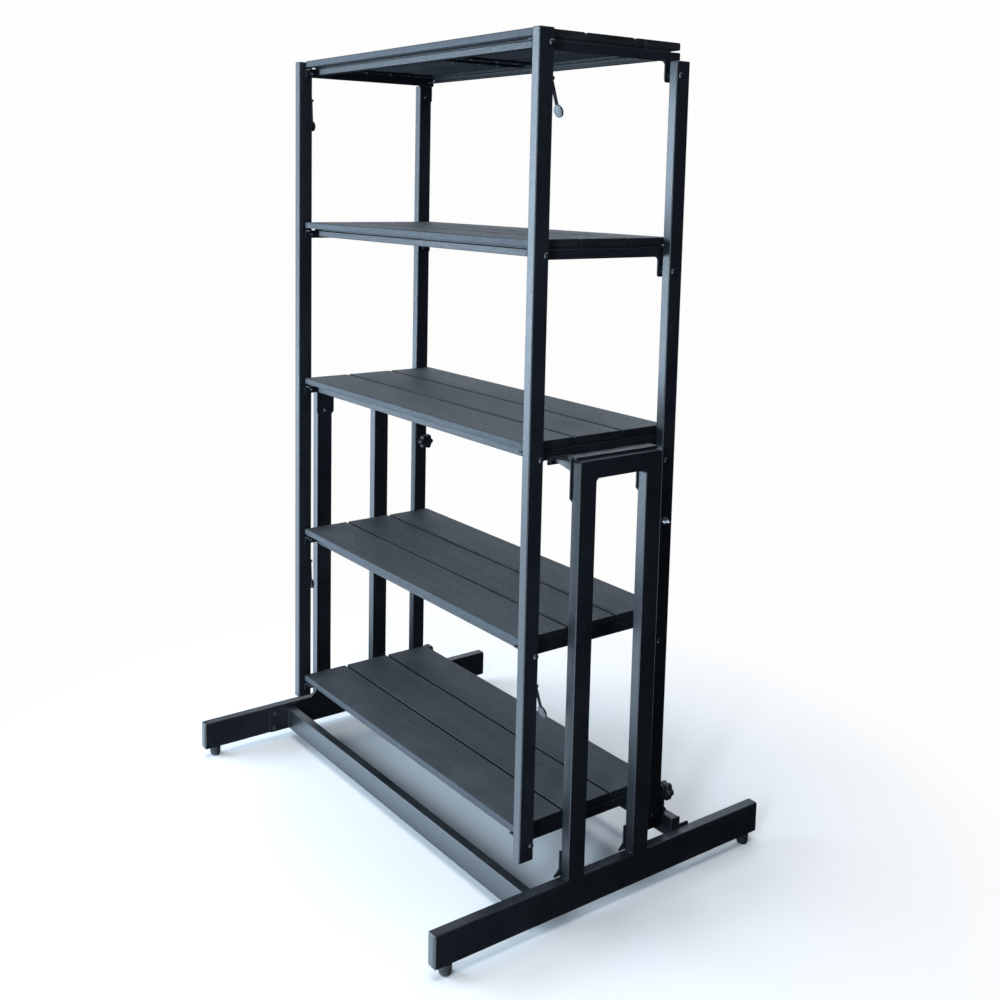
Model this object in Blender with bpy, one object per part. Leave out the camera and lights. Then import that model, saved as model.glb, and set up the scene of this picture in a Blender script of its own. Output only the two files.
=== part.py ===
"""Folding five-tier display riser, built as separate named pieces.

Axes: X runs along the shelves, -Y is the front, +Z is up, and the origin is on the
floor under the middle of the base. All lengths are in metres.

Four posts and five level shelves form a parallelogram linkage. The third shelf is
carried by the base, and the posts tilt about its pivots, so the straight rack turns
into a flight of stepped tiers while every shelf stays level.
"""

import math

import bmesh
import bpy
from mathutils import Matrix, Vector

# ---- Driving dimensions ----
GAP = 0.0003  # air kept between two pieces that touch

# Shelves
TIER_TOPS = (1.9610, 1.5225, 1.0845, 0.6465, 0.2085)  # top faces, upper shelf first
FIXED_TIER = 3  # number of the shelf that the base carries
SHELF_LENGTH = 1.000
SHELF_DEPTH = 0.4208
BOARD_COUNT = 3
BOARD_GAP = 0.007
BOARD_THICKNESS = 0.017
BOARD_CHAMFER = 0.003

# Shelf frame: flat bearers under the boards, end angles and long rails under the bearers
STEEL = 0.003
FRAME_DROP = 0.022  # from the shelf's top face to the top of its angles and rails
ANGLE_WIDTH = 0.025
ANGLE_HEIGHT = 0.022
ANGLE_OVERHANG = 0.001  # end angle stands this far past the board ends
RAIL_HEIGHT = 0.0165
RAIL_DEPTH = 0.020
RAIL_WALL = 0.0018
RAIL_SETBACK = 0.022
RAIL_HALF_LENGTH = 0.462
BEARER_HALF_LENGTH = 0.178
BEARER_BITE = 0.0005  # depth of the weld between a bearer and the steel under it
END_BEARER_X = (0.447, 0.499)
MIDDLE_BEARER_X = (0.028, 0.050)
PACKING_Y = (-0.1820, -0.1720)  # strip that lies on the front rail, across the ends of the bearers
PACKING_HALF_LENGTH = 0.4985

# Pivots, measured from the top of each shelf
FRONT_PIVOT_Y = -0.193
FRONT_PIVOT_DROP = 0.0324
BACK_PIVOT_Y = 0.182
BACK_PIVOT_DROP = 0.0765
PIVOT_SHANK_R = 0.0040
PIVOT_HOLE_R = 0.0046
PIVOT_HEAD_R = 0.0070
BOSS_R = 0.0100
DROP_PLATE_FRONT_Y = 0.164
DROP_PLATE_BACK_Y = 0.205
DROP_PLATE_BOTTOM = 0.090

# Posts
POST_INNER_X = 0.5085
POST_WIDTH = 0.025
POST_DEPTH = 0.040
POST_CORNER_R = 0.003
POST_WALL = 0.0015
FRONT_POST_Y = -0.2052
FRONT_POST_SPAN = (0.1425, 1.9570)
BACK_POST_Y = 0.1900
BACK_POST_SPAN = (0.1000, 1.9155)
FOLD_ANGLE = math.radians(40)

# Base
FOOT_INNER_X = 0.5678
FOOT_WIDTH = 0.0275
FOOT_BOTTOM = 0.0261
FOOT_TOP = 0.1018
FOOT_HALF_LENGTH = 0.485
BASE_WALL = 0.002
BASE_CORNER_R = 0.003
CAP_BULGE = 0.0065
PAD_Y = 0.4546
PAD_R = 0.015

UPRIGHT_FRONT_LEG = (-0.1333, -0.0858)
UPRIGHT_BACK_LEG = (0.0614, 0.1089)
UPRIGHT_TOP = 1.0535
UPRIGHT_TOP_BAR = 0.042
UPRIGHT_OUTER_R = 0.006
UPRIGHT_INNER_R = 0.008
GUSSET_HEIGHT = 0.058
GUSSET_FLARE = 0.014

FRONT_BAR_Y = (-0.2288, -0.2038)
FRONT_BAR_Z = (0.0263, 0.0865)
FRONT_FLANGE_Y = (-0.2900, -0.2010)
FRONT_FLANGE_Z = (0.0268, 0.0965)
BACK_BAR_Y = (0.2180, 0.2430)
BACK_BAR_Z = (0.0750, 0.1255)
BACK_FLANGE_Y = (0.2160, 0.2720)
BACK_FLANGE_Z = (0.0450, 0.1080)

# Carriers that bolt the fixed shelf to the uprights
SADDLE_X = (0.5510, 0.5790)
SADDLE_THICKNESS = 0.006
CARRIER_PLATE_BOTTOM = 0.958
CARRIER_ARM_Z = (1.0400, 1.0460)
CARRIER_FLANGE_Y = (-0.150, 0.160)
CARRIER_FLANGE_Z = (1.0300, 1.0565)

# Lock knobs
KNOB_R = 0.0230
KNOB_LOBES = 6
KNOB_LOBE_DEPTH = 0.0045
UPPER_KNOB_Y = 0.188
UPPER_KNOB_Z = 0.862
UPPER_KNOB_STUD_TIP_X = 0.549
LOWER_KNOB_Z = 0.175
LOWER_TAB_TOP = 0.196
STUD_R = 0.0040
STUD_HOLE_R = 0.0052

# Spring catches on the back of the front posts
CATCH_TIERS = (1, 4)
CATCH_BELOW_PIVOT = 0.0715
CATCH_OFFSET = 0.0038  # from the post's back face to the catch's pin
CATCH_REACH = 0.070
CATCH_DISC_R = 0.014
CATCH_STRAP_WIDTH = 0.0106
CATCH_BARREL_R = 0.0030
CATCH_PIN_R = 0.0015
CATCH_OPEN = {"left": math.radians(2), "right": math.radians(17)}

# Number of sides of the round pieces
ROUND_SIDES = 16
HOLE_SIDES = 12

POST_X = POST_INNER_X + POST_WIDTH / 2
FOOT_X = FOOT_INNER_X + FOOT_WIDTH / 2
ANGLE_OUTER_X = SHELF_LENGTH / 2 + ANGLE_OVERHANG


# ---- Scene and materials ----
def clear_scene():
    for obj in list(bpy.data.objects):
        bpy.data.objects.remove(obj, do_unlink=True)


def make_material(name, colour, roughness, metallic):
    material = bpy.data.materials.new(name)
    material.use_nodes = True
    shader = material.node_tree.nodes["Principled BSDF"]
    shader.inputs["Base Color"].default_value = (*colour, 1.0)
    shader.inputs["Roughness"].default_value = roughness
    shader.inputs["Metallic"].default_value = metallic
    return material


# ---- Closed shapes, each returned as a mesh ----
def finish_mesh(bm, name):
    bmesh.ops.recalc_face_normals(bm, faces=bm.faces)
    mesh = bpy.data.meshes.new(name)
    bm.to_mesh(mesh)
    bm.free()
    return mesh


def prism(outline, axis, low, high):
    """Extrude a closed 2-D outline along one axis; the outline holds the other two, in X, Y, Z order."""
    def place(point, along):
        first, second = point
        return {
            "x": (along, first, second),
            "y": (first, along, second),
            "z": (first, second, along),
        }[axis]

    bm = bmesh.new()
    bottom = [bm.verts.new(place(point, low)) for point in outline]
    top = [bm.verts.new(place(point, high)) for point in outline]
    bm.faces.new(bottom)
    bm.faces.new(top[::-1])
    count = len(outline)
    for i in range(count):
        j = (i + 1) % count
        bm.faces.new((bottom[i], bottom[j], top[j], top[i]))
    return finish_mesh(bm, "prism")


def box(x, y, z):
    return prism([(x[0], y[0]), (x[1], y[0]), (x[1], y[1]), (x[0], y[1])], "z", *z)


def round_corners(points, radius, steps=3):
    """Replace each corner of a closed outline by an arc; radius is one number or one for each corner."""
    rounded = []
    count = len(points)
    radii = radius if isinstance(radius, (list, tuple)) else [radius] * count
    for i in range(count):
        corner = Vector(points[i])
        if radii[i] <= 0:
            rounded.append(tuple(corner))
            continue
        before = (Vector(points[i - 1]) - corner).normalized()
        after = (Vector(points[(i + 1) % count]) - corner).normalized()
        half = before.angle(after) / 2
        start = corner + before * (radii[i] / math.tan(half))
        end = corner + after * (radii[i] / math.tan(half))
        centre = corner + (before + after).normalized() * (radii[i] / math.sin(half))
        for step in range(steps + 1):
            share = step / steps
            direction = (start - centre).lerp(end - centre, share)
            rounded.append(tuple(centre + direction.normalized() * radii[i]))
    return rounded


def rectangle(first, second):
    return [(first[0], second[0]), (first[1], second[0]), (first[1], second[1]), (first[0], second[1])]


def circle_points(radius, sides):
    return [
        (radius * math.cos(math.tau * (i + 0.5) / sides), radius * math.sin(math.tau * (i + 0.5) / sides))
        for i in range(sides)
    ]


def rod(axis, centre, radius, low, high, sides=HOLE_SIDES):
    """A round bar along an axis; centre holds the other two coordinates."""
    outline = [(centre[0] + a, centre[1] + b) for a, b in circle_points(radius, sides)]
    return prism(outline, axis, low, high)


def tube(outer, inner, axis, low, high):
    """An open-ended tube between two outlines that have the same number of points."""
    order = {"y": (0, 2, 1), "z": (0, 1, 2)}[axis]

    def place(point, along):
        values = (point[0], point[1], along)
        return tuple(values[order.index(k)] for k in range(3))

    bm = bmesh.new()
    rings = [
        [bm.verts.new(place(point, along)) for point in outline]
        for outline, along in ((outer, low), (outer, high), (inner, high), (inner, low))
    ]
    count = len(outer)
    for k in range(4):
        ring, following = rings[k], rings[(k + 1) % 4]
        for i in range(count):
            j = (i + 1) % count
            bm.faces.new((ring[i], ring[j], following[j], following[i]))
    return finish_mesh(bm, "tube")


def turned(profile, sides=ROUND_SIDES):
    """Turn a profile of (along, radius) points about X; its first and last points lie on the axis."""
    bm = bmesh.new()
    rings = []
    for along, radius in profile:
        if radius == 0:
            rings.append([bm.verts.new((along, 0, 0))])
        else:
            rings.append([bm.verts.new((along, a, b)) for a, b in circle_points(radius, sides)])
    for ring, following in zip(rings, rings[1:]):
        for i in range(sides):
            j = (i + 1) % sides
            if len(ring) == 1:
                bm.faces.new((ring[0], following[i], following[j]))
            elif len(following) == 1:
                bm.faces.new((ring[i], ring[j], following[0]))
            else:
                bm.faces.new((ring[i], ring[j], following[j], following[i]))
    return finish_mesh(bm, "turned")


def moved(mesh, matrix):
    mesh.transform(matrix)
    if matrix.determinant() < 0:
        mesh.flip_normals()
    return mesh


def shifted(mesh, x=0.0, y=0.0, z=0.0):
    return moved(mesh, Matrix.Translation((x, y, z)))


def mirrored(mesh):
    """A copy of the mesh on the other side of the YZ plane."""
    return moved(mesh.copy(), Matrix.Scale(-1, 4, (1, 0, 0)))


def both_sides(meshes):
    return list(meshes) + [mirrored(mesh) for mesh in meshes]


def solid(shapes, holes=()):
    """Weld overlapping shapes into one body, cut the holes from it, and return its mesh."""
    helpers = [bpy.data.objects.new(f"helper_{i}", mesh) for i, mesh in enumerate((*shapes, *holes))]
    for helper in helpers:
        bpy.context.scene.collection.objects.link(helper)
    body = helpers[0]
    for i, helper in enumerate(helpers[1:], start=1):
        cut = body.modifiers.new(f"step_{i}", "BOOLEAN")
        cut.solver = "EXACT"
        cut.operation = "UNION" if i < len(shapes) else "DIFFERENCE"
        cut.object = helper
    graph = bpy.context.evaluated_depsgraph_get()
    mesh = bpy.data.meshes.new_from_object(body.evaluated_get(graph))
    for helper in helpers:
        bpy.data.objects.remove(helper, do_unlink=True)
    mesh.materials.clear()
    return mesh


# ---- Pieces of a shelf, relative to the middle of its top face ----
def board_mesh():
    """One deck board with chamfered long edges, centred on Y = 0."""
    width = (SHELF_DEPTH - BOARD_GAP * (BOARD_COUNT - 1)) / BOARD_COUNT
    half = width / 2
    bevel = BOARD_CHAMFER
    section = [
        (-half + bevel, 0), (half - bevel, 0), (half, -bevel), (half, bevel - BOARD_THICKNESS),
        (half - bevel, -BOARD_THICKNESS), (bevel - half, -BOARD_THICKNESS),
        (-half, bevel - BOARD_THICKNESS), (-half, -bevel),
    ]
    return prism(section, "x", -SHELF_LENGTH / 2, SHELF_LENGTH / 2)


def rail_mesh():
    """Front long rail: a folded channel that opens to the back of the shelf's middle."""
    front = -SHELF_DEPTH / 2 + RAIL_SETBACK
    back = front + RAIL_DEPTH
    top = -FRAME_DROP
    bottom = top - RAIL_HEIGHT
    wall = RAIL_WALL
    outline = [
        (back, top), (front, top), (front, bottom), (back, bottom),
        (back, bottom + wall), (front + wall, bottom + wall), (front + wall, top - wall), (back, top - wall),
    ]
    radii = [0, 0.0018, 0.0018, 0, 0, 0, 0, 0]
    return prism(round_corners(outline, radii, 2), "x", -RAIL_HALF_LENGTH, RAIL_HALF_LENGTH)


def end_angle_mesh():
    """End angle of the right-hand side, with its flange under the boards."""
    outer = ANGLE_OUTER_X
    top = -FRAME_DROP
    profile = [
        (outer - ANGLE_WIDTH, top), (outer, top), (outer, top - ANGLE_HEIGHT),
        (outer - STEEL, top - ANGLE_HEIGHT), (outer - STEEL, top - STEEL), (outer - ANGLE_WIDTH, top - STEEL),
    ]
    return prism(profile, "y", -SHELF_DEPTH / 2, SHELF_DEPTH / 2)


def drop_plate_mesh():
    """Plate that hangs from the end angle and carries the back pivot."""
    thickness = 0.0002  # stands proud of the angle's web on both faces
    low, high = DROP_PLATE_FRONT_Y, DROP_PLATE_BACK_Y
    top, bottom, shoulder = -0.030, -DROP_PLATE_BOTTOM, -0.0445
    outline = [
        (low - 0.006, top), (high, top), (high, bottom), (low, bottom), (low, shoulder - 0.006),
        (low - 0.006, shoulder + 0.002),
    ]
    shape = round_corners(outline, [0, 0, 0.006, 0.006, 0, 0], 2)
    return prism(shape, "x", ANGLE_OUTER_X - STEEL - thickness, ANGLE_OUTER_X + thickness)


def frame_mesh():
    """Welded shelf frame with front pivot bosses and the back pivot rivets."""
    boss_start = ANGLE_OUTER_X - 0.0015
    boss_end = POST_INNER_X - GAP
    post_outer = POST_INNER_X + POST_WIDTH
    front_pivot = (FRONT_PIVOT_Y, -FRONT_PIVOT_DROP)
    back_pivot = (BACK_PIVOT_Y, -BACK_PIVOT_DROP)
    bearer_y = (-BEARER_HALF_LENGTH, BEARER_HALF_LENGTH)
    bearer_z = (-FRAME_DROP - BEARER_BITE, -BOARD_THICKNESS - GAP)
    packing_x = (-PACKING_HALF_LENGTH, PACKING_HALF_LENGTH)
    packing_z = (bearer_z[0] - 0.0003, bearer_z[1] - 0.0003)
    front_half = [rail_mesh(), box(packing_x, PACKING_Y, packing_z)]
    back_half = [moved(mesh.copy(), Matrix.Scale(-1, 4, (0, 1, 0))) for mesh in front_half]
    rivet_profile = [
        (ANGLE_OUTER_X - 0.0080, 0), (ANGLE_OUTER_X - 0.0080, 0.0055), (ANGLE_OUTER_X - 0.0025, 0.0062),
        (ANGLE_OUTER_X - 0.0025, PIVOT_SHANK_R), (post_outer + 0.0005, PIVOT_SHANK_R),
        (post_outer + 0.0005, PIVOT_HEAD_R), (post_outer + 0.0025, PIVOT_HEAD_R),
        (post_outer + 0.0045, 0.0045), (post_outer + 0.0045, 0),
    ]
    rivet = shifted(turned(rivet_profile, HOLE_SIDES), y=back_pivot[0], z=back_pivot[1])
    side = [
        end_angle_mesh(),
        drop_plate_mesh(),
        rod("x", front_pivot, BOSS_R, boss_start, boss_end, ROUND_SIDES),
        rod("x", back_pivot, BOSS_R, boss_start, boss_end, ROUND_SIDES),
        rivet,
        box(END_BEARER_X, bearer_y, bearer_z),
        box(MIDDLE_BEARER_X, bearer_y, bearer_z),
    ]
    hole = rod("x", front_pivot, PIVOT_HOLE_R, ANGLE_OUTER_X - 0.006, POST_INNER_X + 0.002)
    mesh = solid([*front_half, *back_half, *both_sides(side)], both_sides([hole]))
    return shifted(mesh, y=-FRONT_PIVOT_Y, z=FRONT_PIVOT_DROP)


# ---- Posts and pivots ----
def post_tube(centre_y, span):
    half_x, half_y = POST_WIDTH / 2, POST_DEPTH / 2
    outer = round_corners(
        rectangle((POST_X - half_x, POST_X + half_x), (centre_y - half_y, centre_y + half_y)), POST_CORNER_R, 3
    )
    inner_x = (POST_X - half_x + POST_WALL, POST_X + half_x - POST_WALL)
    inner_y = (centre_y - half_y + POST_WALL, centre_y + half_y - POST_WALL)
    inner = round_corners(rectangle(inner_x, inner_y), POST_CORNER_R - POST_WALL, 3)
    return tube(outer, inner, "z", *span)


def post_holes(pivot_y, pivot_drop):
    return [
        rod("x", (pivot_y, top - pivot_drop), PIVOT_HOLE_R, POST_INNER_X - 0.005, POST_INNER_X + POST_WIDTH + 0.005)
        for top in TIER_TOPS
    ]


def catch_pivot(number):
    """Y and Z of the pin of the catch below a shelf's front pivot."""
    return (
        FRONT_POST_Y + POST_DEPTH / 2 + CATCH_OFFSET,
        TIER_TOPS[number - 1] - FRONT_PIVOT_DROP - CATCH_BELOW_PIVOT,
    )


def catch_lug_shapes(number):
    """Two ears on the post's back face, and the pin between them."""
    y, z = catch_pivot(number)
    near, far = CATCH_STRAP_WIDTH / 2 + 0.0004, CATCH_STRAP_WIDTH / 2 + 0.0022
    ear_y = (y - CATCH_OFFSET - 0.0010, y + 0.0026)
    ear_z = (z - 0.0035, z + 0.0035)
    return [
        box((POST_X - far, POST_X - near), ear_y, ear_z),
        box((POST_X + near, POST_X + far), ear_y, ear_z),
        rod("x", (y, z), CATCH_PIN_R, POST_X - far + 0.0005, POST_X + far - 0.0005, 8),
    ]


def front_post_mesh():
    lugs = [shape for number in CATCH_TIERS for shape in catch_lug_shapes(number)]
    tube_shape = post_tube(FRONT_POST_Y, FRONT_POST_SPAN)
    return solid([tube_shape, *lugs], post_holes(FRONT_PIVOT_Y, FRONT_PIVOT_DROP))


def back_post_mesh():
    stud_hole = rod(
        "x", (UPPER_KNOB_Y, UPPER_KNOB_Z), STUD_HOLE_R, POST_INNER_X - 0.005, POST_INNER_X + POST_WIDTH + 0.005
    )
    lock_hole = rod(
        "y", (POST_X, LOWER_KNOB_Z), STUD_HOLE_R, BACK_POST_Y + POST_DEPTH / 2 - 0.006, BACK_POST_Y + POST_DEPTH
    )
    holes = [*post_holes(BACK_PIVOT_Y, BACK_PIVOT_DROP), stud_hole, lock_hole]
    return solid([post_tube(BACK_POST_Y, BACK_POST_SPAN)], holes)


def pivot_bolt_mesh():
    """Front pivot bolt with its nut, along X, with its axis at Y = Z = 0."""
    post_outer = POST_INNER_X + POST_WIDTH
    web_inner = ANGLE_OUTER_X - STEEL
    profile = [
        (post_outer + 0.0048, 0), (post_outer + 0.0048, 0.0045), (post_outer + 0.0028, PIVOT_HEAD_R),
        (post_outer + GAP, PIVOT_HEAD_R), (post_outer + GAP, PIVOT_SHANK_R), (web_inner - GAP, PIVOT_SHANK_R),
        (web_inner - GAP, 0.0065), (web_inner - 0.0060, 0.0065), (web_inner - 0.0060, 0.0036),
        (web_inner - 0.0095, 0.0036), (web_inner - 0.0095, 0),
    ]
    return turned(profile[::-1], HOLE_SIDES)


# ---- Base ----
def foot_bar_mesh():
    outer_x = (FOOT_INNER_X, FOOT_INNER_X + FOOT_WIDTH)
    outer_z = (FOOT_BOTTOM, FOOT_TOP)
    inner_x = (outer_x[0] + BASE_WALL, outer_x[1] - BASE_WALL)
    inner_z = (outer_z[0] + BASE_WALL, outer_z[1] - BASE_WALL)
    outer = round_corners(rectangle(outer_x, outer_z), BASE_CORNER_R, 3)
    inner = round_corners(rectangle(inner_x, inner_z), BASE_CORNER_R - BASE_WALL, 3)
    return tube(outer, inner, "y", -FOOT_HALF_LENGTH, FOOT_HALF_LENGTH)


def end_cap_mesh():
    """Domed plug for the front end of the right-hand foot bar."""
    bm = bmesh.new()
    face = -FOOT_HALF_LENGTH - GAP
    stages = (
        (0.0000, 0.0000, 0.003), (0.0030, 0.0000, 0.003), (0.0052, 0.0022, 0.004), (CAP_BULGE, 0.0070, 0.004)
    )
    rings = []
    for outward, inset, radius in stages:
        x = (FOOT_INNER_X + inset, FOOT_INNER_X + FOOT_WIDTH - inset)
        z = (FOOT_BOTTOM + inset, FOOT_TOP - inset)
        outline = round_corners(rectangle(x, z), radius, 3)
        rings.append([bm.verts.new((a, face - outward, b)) for a, b in outline])
    bm.faces.new(rings[0])
    bm.faces.new(rings[-1][::-1])
    for ring, following in zip(rings, rings[1:]):
        for i in range(len(ring)):
            j = (i + 1) % len(ring)
            bm.faces.new((ring[i], ring[j], following[j], following[i]))
    return finish_mesh(bm, "end_cap")


def upright_outline(inset, bottom):
    """The arch of an upright: both legs and the bar over them, moved in by inset."""
    outer_low, outer_high = UPRIGHT_FRONT_LEG[0] + inset, UPRIGHT_BACK_LEG[1] - inset
    inner_low, inner_high = UPRIGHT_FRONT_LEG[1] - inset, UPRIGHT_BACK_LEG[0] + inset
    top, under = UPRIGHT_TOP - inset, UPRIGHT_TOP - UPRIGHT_TOP_BAR + inset
    points = [
        (outer_low, bottom), (inner_low, bottom), (inner_low, under), (inner_high, under),
        (inner_high, bottom), (outer_high, bottom), (outer_high, top), (outer_low, top),
    ]
    inner_radius = UPRIGHT_INNER_R + inset
    outer_radius = max(UPRIGHT_OUTER_R - inset, 0.001)
    return round_corners(points, [0, 0, inner_radius, inner_radius, 0, 0, outer_radius, outer_radius], 3)


def gusset_mesh(leg):
    """Thin plate inside a leg's foot, flared where it meets the foot bar."""
    low, high = leg[0] - 0.004, leg[1] + 0.004
    bottom = FOOT_TOP + 0.0005
    flare = GUSSET_FLARE
    outline = [
        (low - flare, bottom), (high + flare, bottom), (high + flare, bottom + 0.003), (high, bottom + flare + 0.003),
        (high, bottom + GUSSET_HEIGHT), (low, bottom + GUSSET_HEIGHT), (low, bottom + flare + 0.003),
        (low - flare, bottom + 0.003),
    ]
    return prism(outline, "x", FOOT_INNER_X - STEEL, FOOT_INNER_X + 0.0004)


def upright_mesh():
    bottom = FOOT_TOP + GAP
    x = (FOOT_INNER_X, FOOT_INNER_X + FOOT_WIDTH)
    arch = prism(upright_outline(0, bottom), "x", *x)
    bm = bmesh.new()
    bm.from_mesh(arch)
    rim = [edge for edge in bm.edges if abs(edge.verts[0].co.x - edge.verts[1].co.x) < 1e-6]
    long_rim = [edge for edge in rim if max(edge.verts[0].co.z, edge.verts[1].co.z) > bottom + 1e-4]
    bmesh.ops.bevel(bm, geom=long_rim, offset=BASE_CORNER_R * 0.8, segments=2, profile=0.5, affect="EDGES")
    arch = finish_mesh(bm, "arch")
    hollow = prism(upright_outline(BASE_WALL, bottom - 0.01), "x", x[0] + BASE_WALL, x[1] - BASE_WALL)
    reach = Vector((UPPER_KNOB_Y - BACK_PIVOT_Y, UPPER_KNOB_Z - TIER_TOPS[FIXED_TIER - 1] + BACK_PIVOT_DROP))
    cosine, sine = math.cos(FOLD_ANGLE), math.sin(FOLD_ANGLE)
    lock_y = BACK_PIVOT_Y + reach.x * cosine + reach.y * sine
    lock_z = TIER_TOPS[FIXED_TIER - 1] - BACK_PIVOT_DROP - reach.x * sine + reach.y * cosine
    lock_hole = rod("x", (lock_y, lock_z), STUD_HOLE_R, x[0] - 0.005, x[0] + BASE_WALL + 0.002)
    shapes = [arch, gusset_mesh(UPRIGHT_FRONT_LEG), gusset_mesh(UPRIGHT_BACK_LEG)]
    return solid(shapes, [hollow, lock_hole])


def cross_bar_mesh(bar_y, bar_z, flange_y, flange_z, extras=(), extra_holes=()):
    """Hollow bar between the foot bars with a bolting flange at each end."""
    face = FOOT_INNER_X - GAP
    outline = round_corners(rectangle(bar_y, bar_z), BASE_CORNER_R, 2)
    bar = prism(outline, "x", -face + 0.001, face - 0.001)
    flange = box((face - STEEL, face), flange_y, flange_z)
    wall = BASE_WALL
    hollow = box((-face - 0.01, face + 0.01), (bar_y[0] + wall, bar_y[1] - wall), (bar_z[0] + wall, bar_z[1] - wall))
    return solid([bar, *both_sides([flange, *extras])], [hollow, *both_sides(extra_holes)])


def lock_tab_shapes():
    """Tab on the back cross bar for a lower lock knob, with its stiffening rib."""
    tab_y = (BACK_BAR_Y[0] - 0.0015, BACK_BAR_Y[0] + 0.0020)
    outline = rectangle((POST_X - 0.015, POST_X + 0.015), (BACK_BAR_Z[0] + 0.020, LOWER_TAB_TOP))
    tab = prism(round_corners(outline, [0, 0, 0.008, 0.008], 3), "y", *tab_y)
    rib_outline = [
        (tab_y[0] + 0.001, BACK_BAR_Z[1] - 0.001), (BACK_BAR_Y[1] - 0.003, BACK_BAR_Z[1] - 0.001),
        (BACK_BAR_Y[1] - 0.003, BACK_BAR_Z[1] + 0.003), (tab_y[1] + 0.001, LOWER_KNOB_Z - 0.026),
        (tab_y[0] + 0.001, LOWER_KNOB_Z - 0.026),
    ]
    rib = prism(rib_outline, "x", POST_X - 0.0015, POST_X + 0.0015)
    hole = rod("y", (POST_X, LOWER_KNOB_Z), STUD_HOLE_R, tab_y[0] - 0.005, tab_y[1] + 0.005)
    return [tab, rib], [hole]


def carrier_mesh():
    """Right-hand carrier: saddle on the upright, a plate and an arm at each leg, and a flange on the shelf."""
    saddle_z = (UPRIGHT_TOP + GAP, UPRIGHT_TOP + GAP + SADDLE_THICKNESS)
    saddle_y = (UPRIGHT_FRONT_LEG[0], UPRIGHT_BACK_LEG[1])
    plate_x = (FOOT_INNER_X - GAP - STEEL, FOOT_INNER_X - GAP)
    flange_x = (ANGLE_OUTER_X + 0.0005, ANGLE_OUTER_X + 0.0005 + STEEL)
    shapes = [box(SADDLE_X, saddle_y, saddle_z), box(flange_x, CARRIER_FLANGE_Y, CARRIER_FLANGE_Z)]
    for leg in (UPRIGHT_FRONT_LEG, UPRIGHT_BACK_LEG):
        low, high = leg[0] - 0.004, leg[1] + 0.004
        bottom, top, cut = CARRIER_PLATE_BOTTOM, saddle_z[0] + 0.002, 0.009
        outline = [(low + cut, bottom), (high - cut, bottom), (high, bottom + cut), (high, top), (low, top)]
        outline.append((low, bottom + cut))
        shapes.append(prism(outline, "x", *plate_x))
        shapes.append(box((flange_x[0] + 0.001, plate_x[0] + 0.001), (low + 0.001, high - 0.001), CARRIER_ARM_Z))
        rib = [
            (flange_x[0] + 0.0015, CARRIER_ARM_Z[0] + 0.001), (plate_x[0] + 0.0015, CARRIER_ARM_Z[0] - 0.012),
            (plate_x[0] + 0.0015, CARRIER_ARM_Z[1] + 0.003), (flange_x[0] + 0.0015, CARRIER_ARM_Z[1] - 0.001),
        ]
        shapes.append(prism(rib, "y", low + 0.002, low + 0.005))
    return solid(shapes)


def pad_mesh():
    """Moulded rubber foot, standing on the floor at X = Y = 0."""
    top = FOOT_BOTTOM - GAP
    profile = [(0, 0), (0, 0.0105), (0.004, 0.0135), (0.010, PAD_R), (top, PAD_R), (top, 0)]
    return moved(turned(profile), Matrix.Rotation(-math.pi / 2, 4, "Y"))


# ---- Hand controls ----
def lobed_outline(radius, sides_per_lobe=4):
    count = KNOB_LOBES * sides_per_lobe
    points = []
    for i in range(count):
        angle = math.tau * i / count
        reach = radius - KNOB_LOBE_DEPTH * (0.5 - 0.5 * math.cos(KNOB_LOBES * angle))
        points.append((reach * math.cos(angle), reach * math.sin(angle)))
    return points


def knob_mesh(hub_length, head_length, stud_length):
    """Lobed knob on the X axis: its hub face is at X = 0, its head at -X and its stud at +X."""
    bm = bmesh.new()
    head_back = -hub_length
    head_front = -hub_length - head_length
    stages = ((head_back, 0.93), (head_back - 0.002, 1.0), (head_front + 0.003, 1.0), (head_front, 0.88))
    rings = []
    for along, share in stages:
        rings.append([bm.verts.new((along, a * share, b * share)) for a, b in lobed_outline(KNOB_R)])
    bm.faces.new(rings[0])
    bm.faces.new(rings[-1][::-1])
    for ring, following in zip(rings, rings[1:]):
        for i in range(len(ring)):
            j = (i + 1) % len(ring)
            bm.faces.new((ring[i], ring[j], following[j], following[i]))
    head = finish_mesh(bm, "head")
    hub = rod("x", (0, 0), 0.0095, head_back - 0.001, 0, ROUND_SIDES)
    stud = rod("x", (0, 0), STUD_R, -0.001, stud_length, HOLE_SIDES)
    return solid([head, hub, stud])


def catch_mesh():
    """Spring strap with a round thumb disc, hanging from a barrel round its pin, with the pin's axis at the origin."""
    half = CATCH_STRAP_WIDTH / 2
    barrel = rod("x", (0, 0), CATCH_BARREL_R, -half + 0.0001, half - 0.0001)
    strap = box((-half, half), (-0.0008, 0.0007), (-CATCH_REACH, -CATCH_PIN_R - 0.0008))
    disc = rod("y", (0, -CATCH_REACH), CATCH_DISC_R, -0.0011, 0.0035, ROUND_SIDES)
    pin_hole = rod("x", (0, 0), CATCH_PIN_R + 0.0004, -half - 0.001, half + 0.001, 8)
    return solid([strap, barrel, disc], [pin_hole])


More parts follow.
